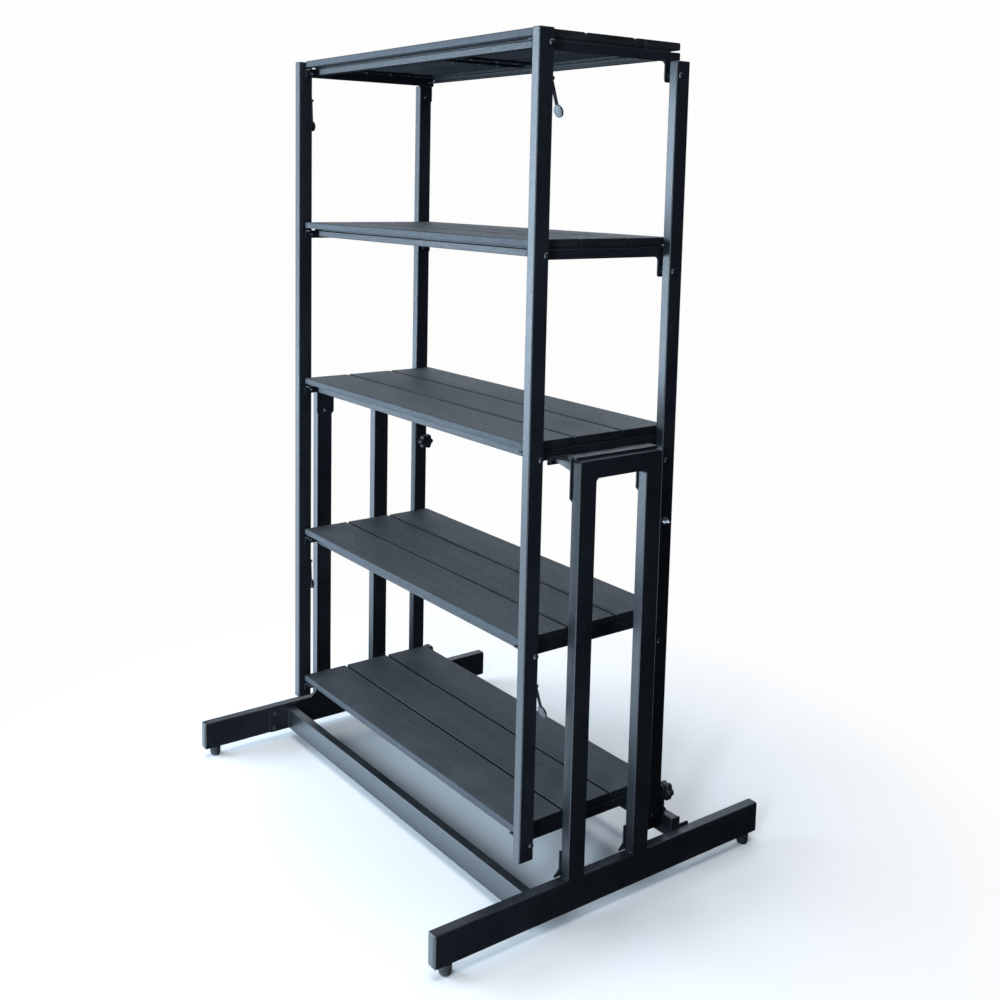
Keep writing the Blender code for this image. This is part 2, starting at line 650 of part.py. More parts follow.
# ---- Placing ----
class Builder:
    """Makes the objects, their joints' empties and their materials."""

    def __init__(self):
        self.materials = {
            "powder_coat": make_material("powder_coat", (0.018, 0.021, 0.025), 0.45, 0.0),
            "composite": make_material("composite", (0.050, 0.058, 0.066), 0.62, 0.0),
            "zinc": make_material("zinc", (0.55, 0.56, 0.57), 0.30, 1.0),
            "black_plastic": make_material("black_plastic", (0.012, 0.012, 0.013), 0.42, 0.0),
            "black_rubber": make_material("black_rubber", (0.015, 0.015, 0.016), 0.80, 0.0),
        }

    def joint(self, name, position):
        empty = bpy.data.objects.new(name, None)
        empty.location = position
        empty.empty_display_size = 0.05
        bpy.context.scene.collection.objects.link(empty)
        return empty

    def place(self, name, mesh, material, location=(0, 0, 0), parent=None, rotation=(0, 0, 0)):
        obj = bpy.data.objects.new(name, mesh)
        if not mesh.materials:
            mesh.materials.append(self.materials[material])
        mesh.shade_smooth()
        mesh.set_sharp_from_angle(angle=math.radians(35))
        obj.location = Vector(location) - (parent.location if parent else Vector((0, 0, 0)))
        obj.rotation_euler = rotation
        obj.parent = parent
        bpy.context.scene.collection.objects.link(obj)
        return obj

    def place_pair(self, name, mesh, material, location=(0, 0, 0), parent=None):
        """The right-hand piece and its mirror image on the left."""
        x, y, z = location
        left = mirrored(mesh)
        self.place(f"{name}_right", mesh, material, location, parent)
        self.place(f"{name}_left", left, material, (-x, y, z), parent)


def build_base(builder):
    builder.place_pair("foot_bar", foot_bar_mesh(), "powder_coat")
    builder.place_pair("upright", upright_mesh(), "powder_coat")
    builder.place_pair("carrier", carrier_mesh(), "powder_coat")
    front_bar = cross_bar_mesh(FRONT_BAR_Y, FRONT_BAR_Z, FRONT_FLANGE_Y, FRONT_FLANGE_Z)
    builder.place("front_cross_bar", front_bar, "powder_coat")
    tab, tab_hole = lock_tab_shapes()
    back_bar = cross_bar_mesh(BACK_BAR_Y, BACK_BAR_Z, BACK_FLANGE_Y, BACK_FLANGE_Z, tab, tab_hole)
    builder.place("back_cross_bar", back_bar, "powder_coat")
    cap = end_cap_mesh()
    back_cap = moved(cap.copy(), Matrix.Scale(-1, 4, (0, 1, 0)))
    builder.place_pair("front_end_cap", cap, "black_plastic")
    builder.place_pair("back_end_cap", back_cap, "black_plastic")
    pad = pad_mesh()
    for side, x in (("left", -FOOT_X), ("right", FOOT_X)):
        builder.place(f"front_pad_{side}", pad, "black_rubber", (x, -PAD_Y, 0))
        builder.place(f"back_pad_{side}", pad, "black_rubber", (x, PAD_Y, 0))


def build_tier(builder, number, frame, board):
    top = TIER_TOPS[number - 1]
    pivot = (0, FRONT_PIVOT_Y, top - FRONT_PIVOT_DROP)
    parent = None if number == FIXED_TIER else builder.joint(f"tier_{number}_pivot", pivot)
    builder.place(f"tier_{number}_frame", frame, "powder_coat", pivot, parent)
    pitch = (SHELF_DEPTH + BOARD_GAP) / BOARD_COUNT
    for place, row in (("front", -1), ("middle", 0), ("back", 1)):
        builder.place(f"tier_{number}_board_{place}", board, "composite", (0, row * pitch, top), parent)


def build_posts(builder):
    fixed_top = TIER_TOPS[FIXED_TIER - 1]
    front_axis = builder.joint("front_posts_pivot", (0, FRONT_PIVOT_Y, fixed_top - FRONT_PIVOT_DROP))
    back_axis = builder.joint("back_posts_pivot", (0, BACK_PIVOT_Y, fixed_top - BACK_PIVOT_DROP))
    builder.place_pair("front_post", front_post_mesh(), "powder_coat", parent=front_axis)
    builder.place_pair("back_post", back_post_mesh(), "powder_coat", parent=back_axis)
    bolt = pivot_bolt_mesh()
    left_bolt = mirrored(bolt)
    for number, top in enumerate(TIER_TOPS, start=1):
        place = (0, FRONT_PIVOT_Y, top - FRONT_PIVOT_DROP)
        builder.place(f"pivot_bolt_{number}_right", bolt, "zinc", place, front_axis)
        builder.place(f"pivot_bolt_{number}_left", left_bolt, "zinc", place, front_axis)
    return front_axis, back_axis


def build_knobs(builder, back_axis):
    hub_face = POST_INNER_X - 0.0005
    upper = knob_mesh(0.018, 0.019, UPPER_KNOB_STUD_TIP_X - hub_face)
    builder.place_pair("upper_knob", upper, "black_plastic", (hub_face, UPPER_KNOB_Y, UPPER_KNOB_Z), back_axis)
    tab_face = BACK_BAR_Y[0] + 0.0020 + GAP
    post_back = BACK_POST_Y + POST_DEPTH / 2
    lower = knob_mesh(0.007, 0.019, tab_face - post_back - 0.0010)
    moved(lower, Matrix.Rotation(-math.pi / 2, 4, "Z"))
    builder.place_pair("lower_knob", lower, "black_plastic", (POST_X, tab_face, LOWER_KNOB_Z))


def build_catches(builder, front_axis):
    catch = catch_mesh()
    for side, x in (("left", -POST_X), ("right", POST_X)):
        for level, number in zip(("upper", "lower"), CATCH_TIERS):
            turn = (CATCH_OPEN[side], 0, 0)
            builder.place(f"{level}_catch_{side}", catch, "powder_coat", (x, *catch_pivot(number)), front_axis, turn)


def main():
    clear_scene()
    builder = Builder()
    build_base(builder)
    frame, board = frame_mesh(), board_mesh()
    for number in range(1, len(TIER_TOPS) + 1):
        build_tier(builder, number, frame, board)
    front_axis, back_axis = build_posts(builder)
    build_knobs(builder, back_axis)
    build_catches(builder, front_axis)
    bpy.context.view_layer.update()


main()
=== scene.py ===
"""Looks of the folding tier riser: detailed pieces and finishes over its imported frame."""

from __future__ import annotations

import logging
import math
from dataclasses import dataclass, field
from enum import Enum
from typing import Iterable, Sequence

import bmesh
import bpy
from mathutils import Matrix, Vector


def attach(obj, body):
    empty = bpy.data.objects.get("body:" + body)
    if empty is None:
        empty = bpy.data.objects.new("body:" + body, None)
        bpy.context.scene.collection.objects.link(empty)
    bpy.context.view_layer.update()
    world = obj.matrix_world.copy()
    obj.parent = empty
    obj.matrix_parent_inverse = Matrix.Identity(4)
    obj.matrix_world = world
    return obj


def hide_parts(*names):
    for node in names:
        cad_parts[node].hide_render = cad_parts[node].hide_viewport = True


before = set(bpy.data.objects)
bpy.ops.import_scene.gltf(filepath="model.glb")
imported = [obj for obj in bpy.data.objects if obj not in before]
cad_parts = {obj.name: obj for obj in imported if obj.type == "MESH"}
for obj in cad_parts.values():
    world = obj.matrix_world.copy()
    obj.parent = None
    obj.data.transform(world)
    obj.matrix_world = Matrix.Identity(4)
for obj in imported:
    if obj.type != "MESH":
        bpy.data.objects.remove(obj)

LOG = logging.getLogger("tier_riser")

Point2 = tuple[float, float]
Point3 = tuple[float, float, float]
Line3 = tuple[Point3, Point3]
Colour = tuple[float, float, float]


class Side(Enum):
    """The two ends of the rack, as the sign of X."""

    LEFT = -1
    RIGHT = 1

    @property
    def word(self) -> str:
        """The side's word in piece names."""
        return self.name.lower()


class Row(Enum):
    """The three boards of a shelf, by their place from front to back."""

    FRONT = -1
    MIDDLE = 0
    BACK = 1


class Level(Enum):
    """The shelves that a catch hangs below."""

    UPPER = 1
    LOWER = 4


class Slot(Enum):
    """The record's material slots."""

    STEEL = "powder_coat"
    BOARD = "composite"
    ZINC = "zinc"
    PLASTIC = "black_plastic"
    RUBBER = "black_rubber"


# ---- Sizes that the sub-assemblies share ----
@dataclass(frozen=True)
class Rack:
    """Sizes of the whole rack that more than one sub-assembly needs, in metres."""

    tier_tops: tuple[float, ...] = (1.9610, 1.5225, 1.0845, 0.6465, 0.2085)
    fixed_tier: int = 3
    shelf_depth: float = 0.4208
    end_face_x: float = 0.5010
    steel: float = 0.003
    frame_drop: float = 0.022
    front_pivot_y: float = -0.193
    front_pivot_drop: float = 0.0324
    back_pivot_y: float = 0.182
    back_pivot_drop: float = 0.0765
    post_inner_x: float = 0.5085
    post_width: float = 0.025
    post_depth: float = 0.040
    front_post_y: float = -0.2052
    back_post_y: float = 0.1900
    upper_knob: Point2 = (0.188, 0.862)
    lower_knob: Point2 = (0.2203, 0.175)
    clearance: float = 0.0003
    foot_inner_x: float = 0.5678
    foot_width: float = 0.0275
    foot_bottom: float = 0.0261
    foot_top: float = 0.1018
    foot_half_length: float = 0.485

    @property
    def post_x(self) -> float:
        """Middle of a post across its width."""
        return self.post_inner_x + self.post_width / 2

    @property
    def post_outer_x(self) -> float:
        """Outer face of a post."""
        return self.post_inner_x + self.post_width

    def body_of_tier(self, number: int) -> str:
        """Name of the body that carries a shelf."""
        return "base" if number == self.fixed_tier else f"tier_{number}"

    def tiers(self) -> Iterable[tuple[int, float]]:
        """Shelf numbers, each with the height of its top face."""
        return enumerate(self.tier_tops, start=1)


# ---- Shapes ----
def rectangle(first: Point2, second: Point2) -> list[Point2]:
    """Corners of a rectangle between two low and high pairs."""
    return [(first[0], second[0]), (first[1], second[0]), (first[1], second[1]), (first[0], second[1])]


def rounded(points: Sequence[Point2], radius: float | Sequence[float], steps: int = 5) -> list[Point2]:
    """Round the corners of a closed outline.

    Args:
        points: The outline's corners.
        radius: One radius, or one for each corner.
        steps: Straight pieces in each arc.

    Returns:
        The outline with arcs in place of its corners.
    """
    count = len(points)
    radii = list(radius) if isinstance(radius, (list, tuple)) else [radius] * count
    outline: list[Point2] = []
    for i, reach in enumerate(radii):
        corner = Vector(points[i])
        if reach <= 0:
            outline.append((corner.x, corner.y))
            continue
        before = (Vector(points[i - 1]) - corner).normalized()
        after = (Vector(points[(i + 1) % count]) - corner).normalized()
        half = before.angle(after) / 2
        centre = corner + (before + after).normalized() * (reach / math.sin(half))
        start = corner + before * (reach / math.tan(half)) - centre
        end = corner + after * (reach / math.tan(half)) - centre
        sweep = math.atan2(start.x * end.y - start.y * end.x, start.dot(end))
        for step in range(steps + 1):
            turn = Matrix.Rotation(sweep * step / steps, 2)
            place = centre + turn @ start
            outline.append((place.x, place.y))
    return outline


def ring_points(radius: float, sides: int, shift: float = 0.5) -> list[Point2]:
    """Points round a circle."""
    angles = [math.tau * (i + shift) / sides for i in range(sides)]
    return [(radius * math.cos(angle), radius * math.sin(angle)) for angle in angles]


class Shape:
    """A mesh in the making. Methods that change it return it, so that they can be chained."""

    def __init__(self) -> None:
        """Start with nothing in it."""
        self.bm = bmesh.new()

    @classmethod
    def stack(cls, rings: Sequence[Sequence[Point3]], closed: bool = False) -> Shape:
        """Skin a row of rings that have equal point counts; a ring of one point closes the skin there.

        Args:
            rings: The rings in order.
            closed: Join the last ring to the first, for an open tube, instead of capping both.

        Returns:
            The closed shape.
        """
        shape = cls()
        bm = shape.bm
        made = [[bm.verts.new(point) for point in ring] for ring in rings]
        pairs = list(zip(made, made[1:])) + ([(made[-1], made[0])] if closed else [])
        for ring, following in pairs:
            sides = max(len(ring), len(following))
            for i in range(sides):
                j = (i + 1) % sides
                if len(ring) == 1:
                    bm.faces.new((ring[0], following[i], following[j]))
                elif len(following) == 1:
                    bm.faces.new((ring[i], ring[j], following[0]))
                else:
                    bm.faces.new((ring[i], ring[j], following[j], following[i]))
        if not closed:
            for ring in (made[0], made[-1]):
                if len(ring) > 1:
                    bm.faces.new(ring)
        bmesh.ops.recalc_face_normals(bm, faces=bm.faces)
        return shape

    @classmethod
    def prism(cls, outline: Sequence[Point2], axis: str, low: float, high: float) -> Shape:
        """Extrude an outline along an axis; the outline holds the other two, in X, Y, Z order."""
        def place(point: Point2, along: float) -> Point3:
            return {"x": (along, *point), "y": (point[0], along, point[1]), "z": (*point, along)}[axis]

        return cls.stack([[place(point, along) for point in outline] for along in (low, high)])

    @classmethod
    def box(cls, x: Point2, y: Point2, z: Point2) -> Shape:
        """A box between low and high pairs."""
        return cls.prism(rectangle(x, y), "z", *z)

    @classmethod
    def turned(cls, profile: Sequence[Point2], sides: int = 32) -> Shape:
        """Turn (along, radius) points about X; points of radius 0 close the ends."""
        rings = [[(along, 0.0, 0.0)] if radius == 0 else [(along, *p) for p in ring_points(radius, sides)]
                 for along, radius in profile]
        return cls.stack(rings)

    @classmethod
    def rod(cls, axis: str, centre: Point2, radius: float, low: float, high: float, sides: int = 32) -> Shape:
        """A round bar along an axis; centre holds the other two coordinates."""
        outline = [(centre[0] + a, centre[1] + b) for a, b in ring_points(radius, sides)]
        return cls.prism(outline, axis, low, high)

    @classmethod
    def from_node(cls, node: str) -> Shape:
        """A merged copy of a node of the frame."""
        shape = cls()
        shape.bm.from_mesh(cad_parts[node].data)
        bmesh.ops.remove_doubles(shape.bm, verts=shape.bm.verts, dist=2e-6)
        bmesh.ops.dissolve_limit(
            shape.bm, angle_limit=math.radians(0.4), verts=shape.bm.verts, edges=shape.bm.edges
        )
        return shape

    def soften(self, width: float, segments: int = 2, least_angle: float = 50.0) -> Shape:
        """Round every edge that is sharper than an angle in degrees."""
        limit = math.radians(least_angle)
        sharp = [edge for edge in self.bm.edges if edge.is_manifold and edge.calc_face_angle(0.0) > limit]
        bmesh.ops.bevel(
            self.bm, geom=sharp, offset=width, segments=segments, profile=0.6, affect="EDGES",
            clamp_overlap=True,
        )
        return self

    def move(self, x: float = 0.0, y: float = 0.0, z: float = 0.0) -> Shape:
        """Shift the shape."""
        return self.change(Matrix.Translation((x, y, z)))

    def change(self, matrix: Matrix) -> Shape:
        """Apply a matrix and keep the faces outwards."""
        self.bm.transform(matrix)
        if matrix.determinant() < 0:
            bmesh.ops.reverse_faces(self.bm, faces=self.bm.faces)
        return self

    def turn(self, degrees: float, axis: str) -> Shape:
        """Turn the shape about an axis through the origin."""
        return self.change(Matrix.Rotation(math.radians(degrees), 4, axis))

    def copy(self) -> Shape:
        """A separate copy."""
        twin = Shape()
        twin.bm = self.bm.copy()
        return twin

    def flipped(self, axis: str = "x") -> Shape:
        """A mirrored copy across the plane through the origin."""
        scale = Matrix.Diagonal((*(-1.0 if axis == name else 1.0 for name in "xyz"), 1.0))
        return self.copy().change(scale)

    def for_side(self, side: Side) -> Shape:
        """The shape as made for the right, or its mirror image for the left."""
        return self if side is Side.RIGHT else self.flipped()

    def add(self, *others: Shape) -> Shape:
        """Put other shapes into this one."""
        for other in others:
            mesh = bpy.data.meshes.new("part")
            other.bm.to_mesh(mesh)
            self.bm.from_mesh(mesh)
            bpy.data.meshes.remove(mesh)
        return self

    def both_ends(self) -> Shape:
        """Add the shape's own mirror image across the rack's middle."""
        return self.add(self.flipped())

    def mesh(self, name: str) -> bpy.types.Mesh:
        """Write the shape to a new mesh."""
        mesh = bpy.data.meshes.new(name)
        self.bm.to_mesh(mesh)
        self.bm.free()
        return mesh


# ---- Shader building ----
class Wiring:
    """Adds nodes to a shader or geometry tree and joins them."""

    def __init__(self, tree: bpy.types.NodeTree) -> None:
        """Work on one tree."""
        self.tree = tree

    def add(self, kind: str, settings: dict[str, object] | None = None, **inputs: object) -> bpy.types.Node:
        """Add a node.

        Args:
            kind: The node's type name.
            settings: Attributes of the node, such as its operation.
            **inputs: Values or output sockets for its inputs, by name, with _ for each space.

        Returns:
            The new node.
        """
        node = self.tree.nodes.new(kind)
        for key, value in (settings or {}).items():
            setattr(node, key, value)
        for key, value in inputs.items():
            self.feed(node, key.replace("_", " "), value)
        return node

    def feed(self, node: bpy.types.Node, name: str | int, value: object) -> None:
        """Give an input a value, or join an output socket to it."""
        socket = node.inputs[name]
        if isinstance(value, bpy.types.NodeSocket):
            self.tree.links.new(value, socket)
        else:
            socket.default_value = value

    def maths(self, operation: str, *values: object, clamp: bool = False) -> bpy.types.NodeSocket:
        """A math node's result."""
        node = self.add("ShaderNodeMath", {"operation": operation, "use_clamp": clamp})
        for i, value in enumerate(values):
            self.feed(node, i, value)
        return node.outputs[0]

    def remap(
        self, value: object, low: float, high: float, to_low: float = 0.0, to_high: float = 1.0
    ) -> bpy.types.NodeSocket:
        """A clamped map range."""
        node = self.add("ShaderNodeMapRange", {"clamp": True})
        names = ("Value", "From Min", "From Max", "To Min", "To Max")
        for name, part in zip(names, (value, low, high, to_low, to_high)):
            self.feed(node, name, part)
        return node.outputs["Result"]

    def blend(self, share: object, first: object, second: object) -> bpy.types.NodeSocket:
        """A mix of two colours."""
        node = self.add("ShaderNodeMix", {"data_type": "RGBA"})
        self.feed(node, 0, share)
        self.feed(node, 6, first)
        self.feed(node, 7, second)
        return node.outputs[2]

    def noise(
        self, vector: object, scale: object, detail: float = 3.0, rough: float = 0.55
    ) -> bpy.types.NodeSocket:
        """A noise texture's value."""
        node = self.add("ShaderNodeTexNoise")
        for name, part in (("Vector", vector), ("Scale", scale), ("Detail", detail), ("Roughness", rough)):
            self.feed(node, name, part)
        return node.outputs[0]

    def stretched(self, vector: object, scale: Point3, location: Point3 = (0, 0, 0)) -> bpy.types.NodeSocket:
        """A vector scaled along each axis."""
        node = self.add("ShaderNodeMapping", None, Vector=vector, Scale=scale, Location=location)
        return node.outputs[0]

    def facing(self) -> bpy.types.Node:
        """The surface normal, split into its parts."""
        normal = self.add("ShaderNodeNewGeometry").outputs["Normal"]
        return self.add("ShaderNodeSeparateXYZ", None, Vector=normal)


def rgba(colour: Colour) -> tuple[float, float, float, float]:
    """A colour with full alpha."""
    return (*colour, 1.0)


class EffectLibrary:
    """The shader node groups that several finishes share, each built once."""

    def __init__(self) -> None:
        """Build every group."""
        self.grain = self._grain()
        self.scuffs = self._scuffs()
        self.dust = self._dust()

    @staticmethod
    def _new(name: str, inputs: dict[str, float | None], outputs: Sequence[str]) -> tuple[Wiring, dict, dict]:
        """Start a group.

        Args:
            name: The group's name.
            inputs: Input names and defaults; None makes a vector input.
            outputs: Names of its value outputs.

        Returns:
            The wiring, the group's input sockets by name, and its output sockets by name.
        """
        tree = bpy.data.node_groups.new(name, "ShaderNodeTree")
        for key, default in inputs.items():
            kind = "NodeSocketVector" if default is None else "NodeSocketFloat"
            socket = tree.interface.new_socket(name=key, in_out="INPUT", socket_type=kind)
            if default is not None:
                socket.default_value = default
        for key in outputs:
            tree.interface.new_socket(name=key, in_out="OUTPUT", socket_type="NodeSocketFloat")
        wiring = Wiring(tree)
        source = wiring.add("NodeGroupInput")
        target = wiring.add("NodeGroupOutput")
        given = {key: source.outputs[key] for key in inputs}
        return wiring, given, {key: target.inputs[key] for key in outputs}

    def _grain(self) -> bpy.types.NodeTree:
        """Fine texture of a sprayed or moulded surface, as a height and a shade."""
        inputs = {"Vector": None, "Coarse Scale": 260.0, "Fine Scale": 1400.0, "Fine Share": 0.5}
        wiring, given, put = self._new("surface_grain", inputs, ("Height", "Shade"))
        coarse = wiring.noise(given["Vector"], given["Coarse Scale"], 2.0)
        fine = wiring.noise(given["Vector"], given["Fine Scale"], 2.0)
        part = wiring.maths("MULTIPLY", fine, given["Fine Share"])
        wiring.tree.links.new(wiring.maths("ADD", coarse, part), put["Height"])
        wiring.tree.links.new(wiring.remap(coarse, 0.3, 0.7), put["Shade"])
        return wiring.tree

    def _scuffs(self) -> bpy.types.NodeTree:
        """Sparse thin scratches in two directions, as a mask."""
        inputs = {"Vector": None, "Scale": 1.0, "Amount": 0.5}
        wiring, given, put = self._new("scuff_marks", inputs, ("Mask",))
        masks = []
        for stretch, place in (((14.0, 420.0, 60.0), (3.1, 0.4, 7.7)), ((70.0, 40.0, 9.0), (0.6, 5.2, 1.3))):
            scaled = wiring.add("ShaderNodeVectorMath", {"operation": "SCALE"})
            wiring.feed(scaled, 0, wiring.stretched(given["Vector"], stretch, place))
            wiring.feed(scaled, "Scale", given["Scale"])
            line = wiring.noise(scaled.outputs[0], 1.0, 2.0)
            masks.append(wiring.remap(line, 0.70, 0.76))
        patch = wiring.remap(wiring.noise(given["Vector"], 9.0, 2.0), 0.5, 0.68)
        both = wiring.maths("MAXIMUM", masks[0], masks[1])
        wiring.tree.links.new(
            wiring.maths("MULTIPLY", wiring.maths("MULTIPLY", both, patch), given["Amount"]), put["Mask"]
        )
        return wiring.tree

    def _dust(self) -> bpy.types.NodeTree:
        """Soft smudges and dust, thicker on faces that look up, as a mask."""
        inputs = {"Vector": None, "Scale": 7.0, "Upward": 0.6}
        wiring, given, put = self._new("soft_dust", inputs, ("Mask",))
        cloud = wiring.remap(wiring.noise(given["Vector"], given["Scale"], 4.0, 0.6), 0.38, 0.72)
        upward = wiring.remap(wiring.facing().outputs["Z"], 0.2, 1.0)
        lift = wiring.maths("MULTIPLY_ADD", upward, given["Upward"], 0.35)
        wiring.tree.links.new(wiring.maths("MULTIPLY", cloud, lift, clamp=True), put["Mask"])
        return wiring.tree


@dataclass(frozen=True)
class Finish:
    """A material's colours and the strength of its surface effects."""

    name: str
    slot: Slot
    colour: Colour
    light_colour: Colour
    roughness: float = 0.45
    roughness_spread: float = 0.10
    metallic: float = 0.0
    specular: float = 0.5
    coarse_scale: float = 260.0
    fine_scale: float = 1400.0
    bump: float = 0.25
    bump_distance: float = 0.0004
    dust_colour: Colour = (0.16, 0.17, 0.18)
    dust: float = 0.10
    scuff: float = 0.35
    stretch: Point3 = (1.0, 1.0, 1.0)

    def build(self, effects: EffectLibrary) -> bpy.types.Material:
        """Make the material.

        Args:
            effects: The shared node groups.

        Returns:
            The material.
        """
        material = bpy.data.materials.new(self.name)
        material.use_nodes = True
        material.diffuse_color = rgba(self.colour)
        wiring = Wiring(material.node_tree)
        shader = material.node_tree.nodes["Principled BSDF"]
        shader.inputs["Metallic"].default_value = self.metallic
        shader.inputs["Specular IOR Level"].default_value = self.specular
        place = wiring.add("ShaderNodeTexCoord").outputs["Object"]
        along = wiring.stretched(place, self.stretch)
        grain = self._group(wiring, effects.grain, along, {
            "Coarse Scale": self.coarse_scale, "Fine Scale": self.fine_scale,
        })
        scuffs = self._group(wiring, effects.scuffs, place, {"Amount": self.scuff})
        dust = self._group(wiring, effects.dust, place, {})
        base = wiring.blend(grain.outputs["Shade"], rgba(self.colour), rgba(self.light_colour))
        base = self.extra_colour(wiring, place, base)
        dust_share = wiring.maths("MULTIPLY", dust.outputs["Mask"], self.dust)
        dusty = wiring.blend(dust_share, base, rgba(self.dust_colour))
        bare = tuple(3.0 * part + 0.03 for part in self.light_colour)
        worn = wiring.blend(scuffs.outputs["Mask"], dusty, rgba(bare))
        wiring.feed(shader, "Base Color", worn)
        low, high = self.roughness - self.roughness_spread, self.roughness + self.roughness_spread
        rough = wiring.remap(grain.outputs["Shade"], 0.0, 1.0, low, high)
        rough = wiring.maths("MULTIPLY_ADD", dust.outputs["Mask"], 0.12, rough)
        rough = wiring.maths("MULTIPLY_ADD", scuffs.outputs["Mask"], -0.12, rough, clamp=True)
        wiring.feed(shader, "Roughness", self.extra_roughness(wiring, rough))
        height = self.extra_height(wiring, place, grain.outputs["Height"])
        bump = wiring.add(
            "ShaderNodeBump", None, Strength=self.bump, Distance=self.bump_distance, Height=height
        )
        wiring.feed(shader, "Normal", bump.outputs["Normal"])
        return material

    @staticmethod
    def _group(
        wiring: Wiring, tree: bpy.types.NodeTree, vector: bpy.types.NodeSocket, values: dict[str, float]
    ) -> bpy.types.Node:
        """Place a shared group with its own values."""
        node = wiring.add("ShaderNodeGroup", {"node_tree": tree})
        wiring.feed(node, "Vector", vector)
        for key, value in values.items():
            wiring.feed(node, key, value)
        return node

    def extra_colour(
        self, wiring: Wiring, place: bpy.types.NodeSocket, base: bpy.types.NodeSocket
    ) -> bpy.types.NodeSocket:
        """Colour that only this finish has; the plain one has none."""
        return base

    def extra_roughness(self, wiring: Wiring, rough: bpy.types.NodeSocket) -> bpy.types.NodeSocket:
        """Roughness that only this finish has; the plain one has none."""
        return rough

    def extra_height(
        self, wiring: Wiring, place: bpy.types.NodeSocket, height: bpy.types.NodeSocket
    ) -> bpy.types.NodeSocket:
        """Relief that only this finish has; the plain one has none."""
        return height


@dataclass(frozen=True)
class BoardFinish(Finish):
    """Charcoal deck board with a brushed grain that runs along the shelf, with painted shade on its end faces
    and inside the joints between boards.
    """

    grain_colour: Colour = (0.016, 0.019, 0.023)
    # Painted shade: near-black for the boards' end faces.
    end_colour: Colour = (0.003, 0.003, 0.004)
    # Painted shade: near-black for the faces inside the joints between boards, where light does not reach.
    joint_colour: Colour = (0.001, 0.001, 0.0012)
    streak_scale: Point3 = (3.0, 190.0, 190.0)
    band_scale: Point3 = (0.8, 26.0, 26.0)

    def extra_colour(
        self, wiring: Wiring, place: bpy.types.NodeSocket, base: bpy.types.NodeSocket
    ) -> bpy.types.NodeSocket:
        """Darken the grain's lines, paint shade on the end faces and inside the joints between boards, and
        vary broad bands.
        """
        streak = wiring.noise(wiring.stretched(place, self.streak_scale), 1.0, 5.0, 0.65)
        band = wiring.noise(wiring.stretched(place, self.band_scale), 1.0, 3.0)
        lines = wiring.blend(wiring.remap(streak, 0.42, 0.60, 0.75, 0.0), base, rgba(self.grain_colour))
        paler = rgba(tuple(1.45 * part for part in self.light_colour))
        faces = wiring.blend(wiring.remap(band, 0.45, 0.75, 0.0, 0.6), lines, paler)
        # Painted shade: faces that point along X, the board ends, are darkened by which way they face.
        endways = wiring.maths("ABSOLUTE", wiring.facing().outputs["X"])
        end_shade = wiring.remap(endways, 0.6, 0.95, 0.0, 0.95)
        dressed = wiring.blend(end_shade, faces, rgba(self.end_colour))
        # Painted shade inside the joints between boards, masked by the mesh's attribute.
        return wiring.blend(self._recess(wiring), dressed, rgba(self.joint_colour))

    def extra_roughness(self, wiring: Wiring, rough: bpy.types.NodeSocket) -> bpy.types.NodeSocket:
        """Make the faces inside the joints fully matt."""
        return wiring.maths("MAXIMUM", rough, self._recess(wiring))

    @staticmethod
    def _recess(wiring: Wiring) -> bpy.types.NodeSocket:
        """How far a point lies inside the joint between two boards, from the mesh's own attribute; this masks
        the painted shade in the joints.
        """
        return wiring.add("ShaderNodeAttribute", {"attribute_name": "recess"}).outputs["Fac"]

    def extra_height(
        self, wiring: Wiring, place: bpy.types.NodeSocket, height: bpy.types.NodeSocket
    ) -> bpy.types.NodeSocket:
        """Raise the grain's lines."""
        streak = wiring.noise(wiring.stretched(place, self.streak_scale), 1.0, 5.0, 0.65)
        return wiring.maths("MULTIPLY_ADD", streak, 2.2, height)


